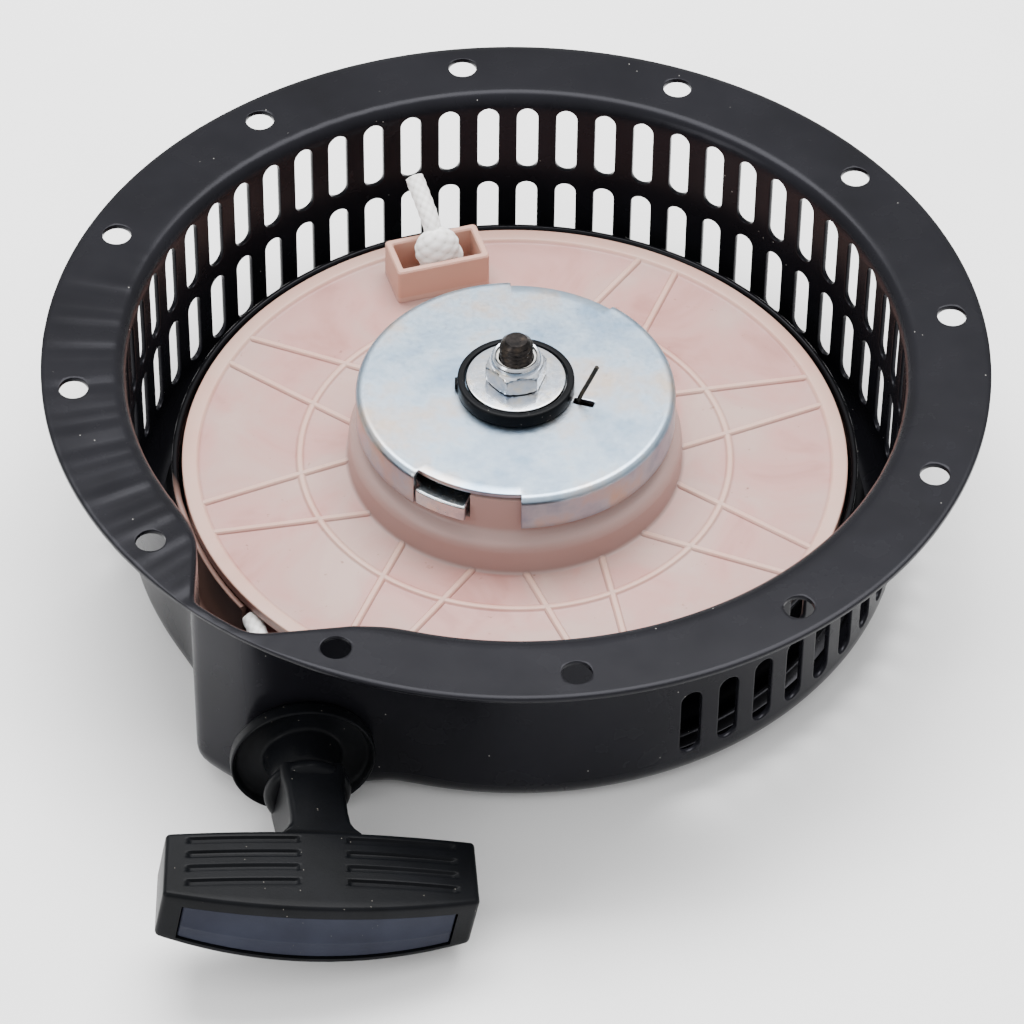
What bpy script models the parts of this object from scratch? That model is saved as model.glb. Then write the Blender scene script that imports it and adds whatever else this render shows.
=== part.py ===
"""Recoil starter of a small industrial engine, as an assembly of separate solids.

Frame: origin at the centre of the closed face of the housing, +Z along the shaft towards the engine,
+X to the right and +Y away from the pull handle. Every size is in millimetres and every angle in degrees;
the solids are written in metres.
"""

import bmesh
import bpy
import numpy as np
from math import acos, atan2, cos, degrees, hypot, pi, radians, sin, sqrt
from mathutils import Vector

MM = 0.001
GAP = 0.3

# Housing: a pressed cup of sheet steel with a flange, slots, and a pocket for the rope
SHEET = 1.2
DEPTH = 57
FLANGE_RADIUS = 112.5
FLANGE_LAND = 0.35
WALL_RADIUS = 93.7
FLANGE_BEND = 2.5
POCKET_BEND = 0.4
FLOOR_BEND = 8
POCKET_SIDE = 73.2
POCKET_CORNER = 111
POCKET_FRONT = 85
POCKET_START = 180
POCKET_END = 278
POCKET_MELTS = (2.5, 0.8)
BOLT_CIRCLE = 105
BOLT_HOLE = 3.5
BOLT_COUNT = 12
BOLT_START = 7.9
SLOT_COUNT = 42
SLOT_PITCH = 6.1
SLOT_START = -63.8
SLOT_WIDTH = 5.4
SLOT_ROWS = ((9.5, 29.5), (33.7, 53.5))
BEAD_INNER = 48
BEAD_OUTER = 56
BEAD_SLOPE = 2
BEAD_RISE = 1.2

# Rope guard: a strip ring round the reel with a foot on the floor
GUARD_INNER = 81.3
GUARD_OUTER = 82.5
GUARD_FOOT = 86.5
GUARD_TOP = 23.6
GUARD_OPENING = (218.2, 262)
GUARD_TUCK_START = 192
GUARD_TUCK_SPAN = 10
GUARD_TUCK_IN = 1.35
GUARD_TUCK_DOWN = 2.9

# Pull line of the handle, seen from above, and the rope on it
PULL_ANGLE = 8
PULL_OFFSET = 60.6
ROPE_Z = 18.3
ROPE_RADIUS = 2.4
ROPE_LAYER = 75
WINDING_RADIUS = 77.4
PULL = Vector((sin(radians(PULL_ANGLE)), -cos(radians(PULL_ANGLE)), 0))
ACROSS = Vector((cos(radians(PULL_ANGLE)), sin(radians(PULL_ANGLE)), 0))
UP = Vector((0, 0, 1))
PULL_START = ACROSS * -PULL_OFFSET + UP * ROPE_Z

# Rope guide: stations along the pull line, measured from the point nearest the shaft
GUIDE_BACK = 78
GUIDE_BORE = 4.2
GUIDE_TUBE = 5.6
GUIDE_BRIM = 85.4
GUIDE_BRIM_RADIUS = 16.7
GUIDE_NOSE = 96
RETAINER_STATION = 81.4
RETAINER_RADIUS = 8.4
RETAINER_THICKNESS = 1.4

# Reel: a rope drum over the spring room, with a hub that holds the pawls
REEL_RADIUS = 80.4
REEL_LIP = 76.9
REEL_LIP_TOP = 23.9
REEL_DISC = 23
REEL_BORE = 10.2
REEL_FOOT = 2.6
DRUM_RADIUS = 58
GROOVE_BOTTOM = 15.4
GROOVE_TOP = 21.1
CHEEK_RADIUS = 79.6
CHEEK_BOTTOM = 13.2
SPRING_ROOM = 55.5
SPRING_CEILING = 17.5
HUB_BASE_RADIUS = 40.2
HUB_RADIUS = 36.3
HUB_TOP = 43.2
RECESS_RADIUS = 19
RECESS_FLOOR = 34
RING_RIB_RADIUS = 52
RIB_TOP = 23.6
RIB_HALF_WIDTH = 0.8
RIB_PAIRS = tuple(k for k in range(8) if k != 2)
RIB_PAIR_START = 17.7
RIB_INNER_END = (42, 9.1)
RIB_OUTER_END = (77.2, 5.05)
KNOT_ANGLE = 107.7
KNOT_RADIUS = 65.9
KNOT_BOX = (6.35, 11.85)
KNOT_WALL = 1.7
KNOT_BOX_TOP = 33
ROPE_HOLE = 3.2
KNOT_CENTRE = 32.3
KNOT_SIZE = (4.3, 5.9, 6.6)

# Friction plate over the hub, with two notches that the pawls look out of
PLATE_BOTTOM = 44
PLATE_TOP = 45.2
PLATE_BORE = 4.5
PLATE_RADIUS = 38.3
PLATE_WALL = 37.1
SKIRT_BOTTOM = 36
NOTCH_CENTRES = (72, 252)
NOTCH_HALF_ANGLE = 20.5
NOTCH_DEPTH_RADIUS = 36.2
WIRE_ANGLE = -16.3
WIRE_RADIUS = 0.55
WIRE_COIL = 15.4
WIRE_SLOT = (14.3, 19.4, 1.1)

# Pawls, on pins in the hub
PAWL_PIVOT_RADIUS = 28
PAWL_ANGLES = {"a": -165, "b": 15}
PAWL_ROOM = (20, 45, -11, 58.4)
PAWL_FLOOR = 36.1
PAWL_BOTTOM = 36.5
PAWL_TOP = 41
PAWL_BOSS = 5.2
PIN_RADIUS = 2.5
PIN_BOTTOM = 30.4
PIN_TOP = 43
PIN_HOLE = 2.8

# Shaft stack: post, spring cover, washers and nut
POST_FOOT = 18
POST_SHOULDER = 13.2
POST_SHOULDER_TOP = 17.1
POST_RADIUS = 9.8
POST_TOP = 43.4
STUD_RADIUS = 4
STUD_TOP = 60.9
COVER_BOTTOM = 3.3
COVER_TOP = 4.1
COVER_RADIUS = 55.1
RING_INNER = 12.3
RING_OUTER = 14
RING_BOTTOM = 45.5
RING_TOP = 48.8
WAVE_HEIGHT = 0.55
WASHER_BOTTOM = 47.6
WASHER_TOP = 48.8
WASHER_RADIUS = 11.9
NUT_FLATS = 13
NUT_TURN = 12
NUT_TOP = 54.3

# Mainspring: a spiral strip between the post and the wall of its room
SPRING_INNER = 14
SPRING_OUTER = 54.6
SPRING_TURNS = 6
SPRING_BOTTOM = 4.6
SPRING_TOP = 16.8
SPRING_HALF = 0.45

# Handle: a T grip, hollow at the front and closed by a cap, rolled a little about the pull line
GRIP_ROLL = 10.3
GRIP_BACK = 118.7
GRIP_FRONT = 136.8
GRIP_HALF_LENGTH = 35.2
GRIP_HALF_HEIGHT = 9.2
GRIP_CROWN = 2.1
GRIP_BOW = 5.2
GRIP_EDGE = 1
GRIP_LEAN = 0.088
GRIP_FLARE = 0.001
STEM_EDGE = 1.6
COLLAR_RADIUS = 10
COLLAR_BACK = 96.6
COLLAR_FRONT = 101
HOLLOW_BACK = 126
HOLLOW_HALF_LENGTH = 30.6
HOLLOW_TOP_WALL = 3.3
HOLLOW_BOTTOM_WALL = 1.6
CAP_RECESS = 0.5
CAP_THICKNESS = 2
CAP_PLAY = 0.35
GROOVE_COUNT = 4
GROOVE_FIRST = 2.0
GROOVE_PITCH = 4.15
GROOVE_DEPTH = 0.5
GROOVE_WIDTH = 1.2
GROOVE_SPAN = (5.5, 14, 22, 30)
BAR_AXIS = ACROSS * cos(radians(GRIP_ROLL)) - UP * sin(radians(GRIP_ROLL))
TOP_AXIS = ACROSS * sin(radians(GRIP_ROLL)) + UP * cos(radians(GRIP_ROLL))


def clear_scene():
    for obj in list(bpy.data.objects):
        bpy.data.objects.remove(obj, do_unlink=True)


def finish(name, colour, roughness, metallic=0.0):
    """A Principled material with one colour, given as a hex number."""
    material = bpy.data.materials.new(name)
    material.use_nodes = True
    shader = material.node_tree.nodes["Principled BSDF"]
    channels = [(colour >> shift & 255) / 255 for shift in (16, 8, 0)]
    linear = [c / 12.92 if c <= 0.04045 else ((c + 0.055) / 1.055) ** 2.4 for c in channels]
    shader.inputs["Base Color"].default_value = (*linear, 1)
    shader.inputs["Roughness"].default_value = roughness
    shader.inputs["Metallic"].default_value = metallic
    return material


def solid(name, points, faces, material, origin=(0, 0, 0)):
    """An object from world points and faces, with its normals outward and its origin where it turns."""
    origin = Vector(origin)
    mesh = bpy.data.meshes.new(name)
    shape = bmesh.new()
    corners = [shape.verts.new((Vector(point) - origin) * MM) for point in points]
    for face in faces:
        shape.faces.new([corners[i] for i in face])
    bmesh.ops.recalc_face_normals(shape, faces=shape.faces)
    shape.to_mesh(mesh)
    shape.free()
    mesh.shade_smooth()
    mesh.set_sharp_from_angle(angle=radians(35))
    mesh.materials.append(material)
    obj = bpy.data.objects.new(name, mesh)
    obj.location = origin * MM
    bpy.context.scene.collection.objects.link(obj)
    return obj


def loft(rings, closed=False):
    """Points and faces of rings joined in turn: closed joins last to first, else both ends are capped."""
    count, size = len(rings), len(rings[0])
    faces = []
    for k in range(count if closed else count - 1):
        after = (k + 1) % count
        for i in range(size):
            j = (i + 1) % size
            faces.append((k * size + i, k * size + j, after * size + j, after * size + i))
    if not closed:
        faces.append(tuple(range(size)))
        faces.append(tuple(range((count - 1) * size, count * size)))
    return [point for ring in rings for point in ring], faces


def merged(name, shapes, material):
    """One mesh from several separate solids given as (points, faces)."""
    points, faces = [], []
    for more_points, more_faces in shapes:
        base = len(points)
        points += more_points
        faces += [tuple(base + i for i in face) for face in more_faces]
    return solid(name, points, faces, material)


def turned(name, profile, material, segments=40, closed=True, origin=(0, 0, 0)):
    """A profile of (radius, height) turned about the vertical through origin."""
    rings = []
    for radius, height in profile:
        turns = [2 * pi * i / segments for i in range(segments)]
        rings.append([Vector((origin[0] + radius * cos(a), origin[1] + radius * sin(a), height))
                      for a in turns])
    return solid(name, *loft(rings, closed), material, origin)


def turned_on_pull_line(name, profile, material, segments, closed=True):
    """A profile of (radius, station) turned about the pull line."""
    rings = []
    for radius, station in profile:
        turns = [2 * pi * i / segments for i in range(segments)]
        rings.append([PULL_START + PULL * station + ACROSS * radius * cos(a) + UP * radius * sin(a)
                      for a in turns])
    return solid(name, *loft(rings, closed), material)


def prism(outline, low, high):
    """Points and faces of a plan outline raised from low to high."""
    return loft([[Vector((x, y, height)) for x, y in outline] for height in (low, high)])


def polar(radius, angle):
    return radius * cos(radians(angle)), radius * sin(radians(angle))


def circle(x, y, radius, segments):
    """Plan outline of a round hole."""
    turns = [2 * pi * i / segments for i in range(segments)]
    return [(x + radius * cos(a), y + radius * sin(a)) for a in turns]


def sector(inner, outer, start, end, steps=12):
    """Plan outline of a ring sector between two angles."""
    angles = [start + (end - start) * i / steps for i in range(steps + 1)]
    return [polar(outer, a) for a in angles] + [polar(inner, a) for a in reversed(angles)]


def directions(angle):
    """Unit vectors outwards and sideways at a bearing."""
    outwards = Vector((*polar(1, angle), 0))
    return outwards, Vector((-outwards.y, outwards.x, 0))


def combine(obj, others, operation):
    """Adds or cuts other shapes, which stay in the file as hidden guides."""
    for other in others:
        other.hide_render = True
        other.display_type = "WIRE"
        modifier = obj.modifiers.new(other.name, "BOOLEAN")
        modifier.operation = operation
        modifier.solver = "EXACT"
        modifier.object = other
    return obj


def smaller(a, b, blend):
    """The lesser of two lengths, rounded over where they cross."""
    return -blend * np.logaddexp(-a / blend, -b / blend)


def larger(a, b, blend):
    """The greater of two lengths, rounded over where they cross."""
    return blend * np.logaddexp(a / blend, b / blend)


def wall_radius(theta, inset):
    """Radius of the wall at each angle, moved in by inset: a circle with a pocket of two flats and an arc."""
    side = (POCKET_SIDE - inset) / np.maximum(-np.cos(theta), 0.05)
    front = (POCKET_FRONT - inset) / np.maximum(PULL.x * np.cos(theta) + PULL.y * np.sin(theta), 0.05)
    corner = np.full_like(theta, POCKET_CORNER - inset)
    pocket = smaller(smaller(side, corner, 0.9), front, 1.2)
    main = np.full_like(theta, WALL_RADIUS - inset)
    angle = np.degrees(theta) % 360
    melt = np.where(angle < (POCKET_START + POCKET_END) / 2, *POCKET_MELTS)
    return np.where((angle > POCKET_START) & (angle < POCKET_END), larger(main, pocket, melt), main)


def housing_angles():
    """Columns of the wall: one flat for each slot, and closer ones round the pocket."""
    slots = SLOT_START + SLOT_PITCH * (np.arange(SLOT_COUNT + 1) - 0.5)
    pocket = np.concatenate([
        np.linspace(slots[-1], 214, 6)[1:],
        np.linspace(214, 258, 23)[1:],
        np.linspace(258, slots[0] + 360, 9)[1:-1],
    ])
    return np.radians(np.concatenate([slots, pocket]))


def floor_corner(theta, depth, bend):
    """Rings of (radius, height) round the bend from wall to floor, for the skin at this depth."""
    rings = []
    for part in (0, pi / 6, pi / 3):
        rings.append((wall_radius(theta, depth + bend * (1 - cos(part))), depth + bend * (1 - sin(part))))
    return [*rings, (wall_radius(theta, depth + bend), depth)]


def make_housing(paint):
    theta = housing_angles()
    radius = wall_radius(theta, 0)
    inner_radius = wall_radius(theta, SHEET)
    in_pocket = np.clip((radius - WALL_RADIUS) / 4, 0, 1)
    bend = FLANGE_BEND * (1 - in_pocket) + POCKET_BEND * in_pocket
    bend_in = bend + SHEET
    most = FLANGE_RADIUS - FLANGE_LAND
    tuck = 1 - cos(pi / 4)
    bead = [(BEAD_OUTER, 0), (BEAD_OUTER - BEAD_SLOPE, BEAD_RISE), (BEAD_INNER + BEAD_SLOPE, BEAD_RISE),
            (BEAD_INNER, 0)]
    outside = [
        (FLANGE_RADIUS, DEPTH),
        (FLANGE_RADIUS, DEPTH - SHEET),
        (np.minimum(radius + bend, most), DEPTH - SHEET),
        (np.minimum(radius + bend * tuck, most), DEPTH - SHEET - bend * tuck),
        (radius, DEPTH - SHEET - bend),
        *floor_corner(theta, 0, FLOOR_BEND),
        *bead,
    ]
    inside = [
        *[(r, SHEET + z) for r, z in reversed(bead)],
        *reversed(floor_corner(theta, SHEET, FLOOR_BEND - SHEET)),
        (inner_radius, DEPTH - bend_in),
        (np.minimum(inner_radius + bend_in * tuck, most), DEPTH - bend_in * tuck),
        (np.minimum(radius + bend, most), DEPTH),
    ]

    def ring(r, z):
        heights = np.broadcast_to(z, theta.shape)
        return [Vector(place) for place in zip(r * np.cos(theta), r * np.sin(theta), heights)]

    size = len(theta)
    outer_points, outer_faces = loft([ring(r, z) for r, z in outside])
    inner_points, inner_faces = loft([ring(r, z) for r, z in inside])
    # both skins keep their floor cap, and their flange rings are joined to each other
    outer_faces.pop(-2)
    inner_faces.pop(-1)
    base = len(outside) * size
    last = base + (len(inside) - 1) * size
    faces = outer_faces + [tuple(base + i for i in face) for face in inner_faces]
    for i in range(size):
        j = (i + 1) % size
        faces.append((i, j, last + j, last + i))
    housing = solid("housing", outer_points + inner_points, faces, paint)

    holes = []
    for k in range(BOLT_COUNT):
        x, y = polar(BOLT_CIRCLE, BOLT_START + 360 / BOLT_COUNT * k)
        holes.append(prism(circle(x, y, BOLT_HOLE, 12), DEPTH - 6, DEPTH + 2))
    slots = [slot_cutter(SLOT_START + SLOT_PITCH * k, low, high)
             for k in range(SLOT_COUNT) for low, high in SLOT_ROWS]
    guide_hole = GUIDE_TUBE + GAP
    cutters = [
        merged("bolt_hole_cutter", holes, paint),
        merged("slot_cutter", slots, paint),
        turned_on_pull_line("guide_hole_cutter", [(guide_hole, 80), (guide_hole, 90)], paint, 16,
                            closed=False),
    ]
    combine(housing, cutters, "DIFFERENCE")


def slot_cutter(angle, low, high):
    """A prism through the wall with a round-ended outline, as (points, faces)."""
    outwards, sideways = directions(angle)
    half = SLOT_WIDTH / 2
    outline = []
    for centre, start in ((high - half, 0), (low + half, pi)):
        turns = [start + pi * i / 3 for i in range(4)]
        outline += [(half * cos(turn), centre + half * sin(turn)) for turn in turns]
    return loft([[outwards * depth + sideways * across + UP * height for across, height in outline]
                 for depth in (WALL_RADIUS - 4, WALL_RADIUS + 3)])


def make_rope_guard(paint):
    """Strip ring that keeps the rope on the reel, tucked under the lip before the rope's way out."""
    foot = [(GUARD_INNER, 1.5), (GUARD_FOOT, 1.5), (GUARD_FOOT, 2.7), (GUARD_OUTER, 2.7)]
    edge = [(GUARD_OUTER, GUARD_TOP - 1), (GUARD_OUTER + 0.5, GUARD_TOP - 0.3),
            (GUARD_OUTER - 0.6, GUARD_TOP), (GUARD_INNER, GUARD_TOP - 0.4)]
    steps = 48
    end, start = GUARD_OPENING
    rings = []
    for k in range(steps + 1):
        angle = start + (end + 360 - start) * k / steps
        outwards, _ = directions(angle)
        tuck = min(max((angle - 360 - GUARD_TUCK_START) / GUARD_TUCK_SPAN, 0), 1)
        lowered = [(r, z - GUARD_TUCK_DOWN * tuck) for r, z in edge]
        rings.append([outwards * (r - GUARD_TUCK_IN * tuck) + UP * z for r, z in foot + lowered])
    solid("rope_guard", *loft(rings), paint)


def make_reel(nylon):
    """The rope reel: groove, hub, recesses for pawls and return spring, ribs and the knot box."""
    profile = [
        (REEL_BORE, SPRING_CEILING), (REEL_BORE, RECESS_FLOOR), (RECESS_RADIUS, RECESS_FLOOR),
        (RECESS_RADIUS, HUB_TOP), (HUB_RADIUS, HUB_TOP), (HUB_RADIUS, 33), (37.6, 32.2), (39.4, 31.2),
        (HUB_BASE_RADIUS, 29.6), (HUB_BASE_RADIUS, REEL_DISC), (RING_RIB_RADIUS - 0.8, REEL_DISC),
        (RING_RIB_RADIUS - 0.5, RIB_TOP), (RING_RIB_RADIUS + 0.5, RIB_TOP),
        (RING_RIB_RADIUS + 0.8, REEL_DISC),
        (REEL_LIP - 0.8, REEL_DISC), (REEL_LIP, REEL_LIP_TOP), (REEL_RADIUS - 0.4, REEL_LIP_TOP),
        (REEL_RADIUS, REEL_LIP_TOP - 0.5), (REEL_RADIUS, GROOVE_TOP), (DRUM_RADIUS, GROOVE_TOP),
        (DRUM_RADIUS, GROOVE_BOTTOM), (CHEEK_RADIUS, GROOVE_BOTTOM), (CHEEK_RADIUS, CHEEK_BOTTOM),
        (DRUM_RADIUS, CHEEK_BOTTOM), (DRUM_RADIUS, REEL_FOOT), (SPRING_ROOM, REEL_FOOT),
        (SPRING_ROOM, SPRING_CEILING),
    ]
    reel = turned("reel", profile, nylon, 48)
    ribs = [rib_shape(RIB_PAIR_START + 45 * k, side) for k in RIB_PAIRS for side in (-1, 1)]
    x, y = polar(KNOT_RADIUS, KNOT_ANGLE)
    half_u, half_v = KNOT_BOX
    pawl_rooms = []
    pin_holes = []
    for angle in PAWL_ANGLES.values():
        inner, outer, start, end = PAWL_ROOM
        pawl_rooms.append(prism(sector(inner, outer, angle + start, angle + end), PAWL_FLOOR, HUB_TOP + 1))
        pin_holes.append(prism(circle(*polar(PAWL_PIVOT_RADIUS, angle), PIN_HOLE, 12), PIN_BOTTOM - 0.4,
                               PAWL_FLOOR + 1))
    combine(reel, [
        merged("rib_bars", ribs, nylon),
        merged("knot_box_walls", [knot_box(half_u, half_v, REEL_DISC - 1, KNOT_BOX_TOP)], nylon),
    ], "UNION")
    combine(reel, [
        merged("knot_box_inside",
               [knot_box(half_u - KNOT_WALL, half_v - KNOT_WALL, REEL_DISC, KNOT_BOX_TOP + 3)],
               nylon),
        merged("rope_hole", [prism(circle(x, y, ROPE_HOLE, 10), GROOVE_TOP - 1, REEL_DISC + 3)], nylon),
        merged("pawl_rooms", pawl_rooms, nylon),
        merged("pin_holes", pin_holes, nylon),
    ], "DIFFERENCE")


def knot_box(half_u, half_v, low, high):
    """A block square to the reel's radius, as (points, faces)."""
    outwards, sideways = directions(KNOT_ANGLE)
    corners = ((-half_u, -half_v), (half_u, -half_v), (half_u, half_v), (-half_u, half_v))
    return loft([[outwards * (KNOT_RADIUS + u) + sideways * v + UP * z for u, v in corners]
                 for z in (low, high)])


def rib_shape(angle, side):
    """One rib of a V pair, as a low bar that leans inwards as it runs out."""
    outwards, sideways = directions(angle)
    ends = [(*RIB_INNER_END, -1), (*RIB_OUTER_END, -1), (*RIB_OUTER_END, 1), (*RIB_INNER_END, 1)]
    return loft([[outwards * u + sideways * (side * v + edge * RIB_HALF_WIDTH) + UP * height
                  for u, v, edge in ends] for height in (REEL_DISC - 0.8, REEL_DISC + 0.8)])


def make_mainspring(steel):
    per_turn = 16
    rings = []
    for k in range(SPRING_TURNS * per_turn + 1):
        share = k / (SPRING_TURNS * per_turn)
        radius = SPRING_INNER + (SPRING_OUTER - SPRING_INNER) * share
        outwards, _ = directions(360 * SPRING_TURNS * share)
        inner, outer = outwards * (radius - SPRING_HALF), outwards * (radius + SPRING_HALF)
        rings.append([inner + UP * SPRING_BOTTOM, outer + UP * SPRING_BOTTOM, outer + UP * SPRING_TOP,
                      inner + UP * SPRING_TOP])
    solid("mainspring", *loft(rings), steel)


def smooth_route(stops, steps=5):
    """Points on a Catmull-Rom curve through the stops."""
    ends = [stops[0] * 2 - stops[1], *stops, stops[-1] * 2 - stops[-2]]
    route = []
    for before, start, stop, after in zip(ends, ends[1:], ends[2:], ends[3:]):
        for i in range(steps):
            t = i / steps
            bend = 2 * before - 5 * start + 4 * stop - after
            twist = 3 * start - before - 3 * stop + after
            route.append(0.5 * (2 * start + (stop - before) * t + bend * t ** 2 + twist * t ** 3))
    return route + [stops[-1]]


def tube(name, route, radius, material, resolution=2):
    """A round cord or wire along the points of a route."""
    curve = bpy.data.curves.new(name, "CURVE")
    curve.dimensions = "3D"
    curve.bevel_depth = radius * MM
    curve.bevel_resolution = resolution
    curve.use_fill_caps = True
    spline = curve.splines.new("POLY")
    spline.points.add(len(route) - 1)
    for point, place in zip(spline.points, route):
        point.co = (*(place * MM), 1)
    curve.materials.append(material)
    obj = bpy.data.objects.new(name, curve)
    bpy.context.scene.collection.objects.link(obj)
    return obj


def tube_mesh(name, route, material):
    """A tube as a closed mesh, which a Boolean can use."""
    curve = tube(name + "_curve", route, ROPE_RADIUS, material, 1)
    graph = bpy.context.evaluated_depsgraph_get()
    mesh = bpy.data.meshes.new_from_object(curve.evaluated_get(graph))
    shape = bmesh.new()
    shape.from_mesh(mesh)
    bmesh.ops.remove_doubles(shape, verts=shape.verts, dist=0.01 * MM)
    bmesh.ops.recalc_face_normals(shape, faces=shape.faces)
    shape.to_mesh(mesh)
    shape.free()
    obj = bpy.data.objects.new(name, mesh)
    bpy.context.scene.collection.objects.link(obj)
    bpy.data.objects.remove(curve, do_unlink=True)
    return obj


def ball(name, centre, radii, material, turn=0):
    """An ellipsoid with radii outwards, sideways and up, turned about the vertical."""
    outwards, sideways = directions(turn)
    rings, segments = 8, 12
    loops = []
    for k in range(rings + 1):
        tilt = pi * (0.04 + 0.92 * k / rings) - pi / 2
        flat = cos(tilt)
        turns = [2 * pi * i / segments for i in range(segments)]
        loops.append([centre + outwards * radii[0] * flat * cos(a) + sideways * radii[1] * flat * sin(a)
                      + UP * radii[2] * sin(tilt) for a in turns])
    return solid(name, *loft(loops), material)


def make_rope(rope):
    """The winding as one ring, and the run from it through the guide, with a gap at each end."""
    mouth = PULL_START + PULL * (GUIDE_BACK + 2)
    bearing = atan2(mouth.y, mouth.x) - acos(ROPE_LAYER / hypot(mouth.x, mouth.y))
    touch = directions(degrees(bearing))[0] * ROPE_LAYER + UP * ROPE_Z
    along = (mouth - touch).normalized()
    stops = [touch + along * 28.6, touch + along * 45, mouth - along * 8, mouth,
             PULL_START + PULL * 88, PULL_START + PULL * (GUIDE_NOSE - 1)]
    tube("rope_run", smooth_route(stops), ROPE_RADIUS, rope)
    inner, outer = DRUM_RADIUS + 0.4, WINDING_RADIUS
    low, high = GROOVE_BOTTOM + 0.5, GROOVE_TOP - 0.4
    turned("rope_winding", [(inner, low), (outer - 1.2, low), (outer, low + 1.1), (outer, high - 1.1),
                            (outer - 1.2, high), (inner, high)], rope)
    inside = [PULL_START + PULL * s for s in (97, 105, 113, 121, 127.8)]
    tube("handle_rope", smooth_route(inside, 2), ROPE_RADIUS, rope)


def make_rope_knot(rope):
    """Stopper knot in its box, with the free end standing up and leaning back."""
    centre = Vector((*polar(KNOT_RADIUS, KNOT_ANGLE), KNOT_CENTRE))
    knot = ball("rope_knot", centre, KNOT_SIZE, rope, KNOT_ANGLE)
    steps = ((0, 0, 0), (-0.6, 1, 3), (-1.9, 4.2, 6.3), (-5.9, 13.2, 11.5))
    tail = [centre + Vector(step) for step in steps]
    stub = [Vector((centre.x, centre.y, z)) for z in (GROOVE_TOP + GAP, REEL_DISC, 27)]
    combine(knot, [tube_mesh("knot_tail", smooth_route(tail, 3), rope), tube_mesh("knot_stub", stub, rope)],
            "UNION")


def make_guide(plastic, steel):
    """Moulded bush in the pocket wall with a wide brim, and the push-on ring that holds it."""
    brim = GUIDE_BRIM_RADIUS
    profile = [
        (3.3, GUIDE_BACK + 1), (GUIDE_BORE, GUIDE_BACK), (GUIDE_TUBE, GUIDE_BACK), (GUIDE_TUBE, GUIDE_BRIM),
        (brim - 0.9, GUIDE_BRIM), (brim, 86.6), (brim, 88.6), (brim - 0.8, 89.6), (brim - 1.8, 89.4),
        (13.6, 88.2), (11.6, 87.9), (9.8, 89.2), (8.4, 92), (7.4, 95), (6.2, GUIDE_NOSE),
        (GUIDE_BORE, GUIDE_NOSE), (3.3, GUIDE_NOSE - 1.2),
    ]
    turned_on_pull_line("rope_guide", profile, plastic, 32)
    inner, outer = GUIDE_TUBE + GAP, RETAINER_RADIUS
    back, front = RETAINER_STATION, RETAINER_STATION + RETAINER_THICKNESS
    section = [(inner, back), (outer, back), (outer, front), (inner, front)]
    turned_on_pull_line("guide_retainer", section, steel, 24)


def make_plate(zinc):
    """Cup-shaped friction plate with its skirt cut away at the two notches."""
    profile = [
        (PLATE_BORE, PLATE_BOTTOM), (NOTCH_DEPTH_RADIUS, PLATE_BOTTOM), (PLATE_WALL, PLATE_BOTTOM - 0.9),
        (PLATE_WALL, SKIRT_BOTTOM), (PLATE_RADIUS, SKIRT_BOTTOM), (PLATE_RADIUS, PLATE_TOP - 1.8),
        (PLATE_RADIUS - 0.6, PLATE_TOP - 0.6), (PLATE_RADIUS - 1.8, PLATE_TOP), (PLATE_BORE, PLATE_TOP),
    ]
    plate = turned("friction_plate", profile, zinc, 60)
    low, high = SKIRT_BOTTOM - 6, PLATE_TOP + 5
    cuts = [prism(sector(NOTCH_DEPTH_RADIUS, 42, centre - NOTCH_HALF_ANGLE, centre + NOTCH_HALF_ANGLE, 10),
                  low, high) for centre in NOTCH_CENTRES]
    outwards, sideways = directions(WIRE_ANGLE)
    near, far, half = WIRE_SLOT
    corners = ((near, -half), (far, -half), (far, half), (near, half))
    slot = [outwards * u + sideways * v for u, v in corners]
    cuts.append(prism([(corner.x, corner.y) for corner in slot], low, high))
    combine(plate, [merged("plate_cutter", cuts, zinc)], "DIFFERENCE")


def make_return_spring(wire):
    """Three coils in the hub's recess, with one leg up through the plate's slot."""
    outwards, _ = directions(WIRE_ANGLE)
    turns, per_turn = 3, 14
    bottom, rise = 34.9, 6.6
    coil = []
    for k in range(turns * per_turn + 1):
        angle = WIRE_ANGLE + 360 * k / per_turn
        coil.append(directions(angle)[0] * WIRE_COIL + UP * (bottom + rise * k / (turns * per_turn)))
    coil += [outwards * radius + UP * height for radius, height in ((15.6, 43), (15.7, 45.4), (16.2, 47.5))]
    coil += [Vector((17.4, -4.1, 51.6)), Vector((19.2, -3.7, 55.8))]
    tube("return_spring", coil, WIRE_RADIUS, wire, 1)


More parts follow.
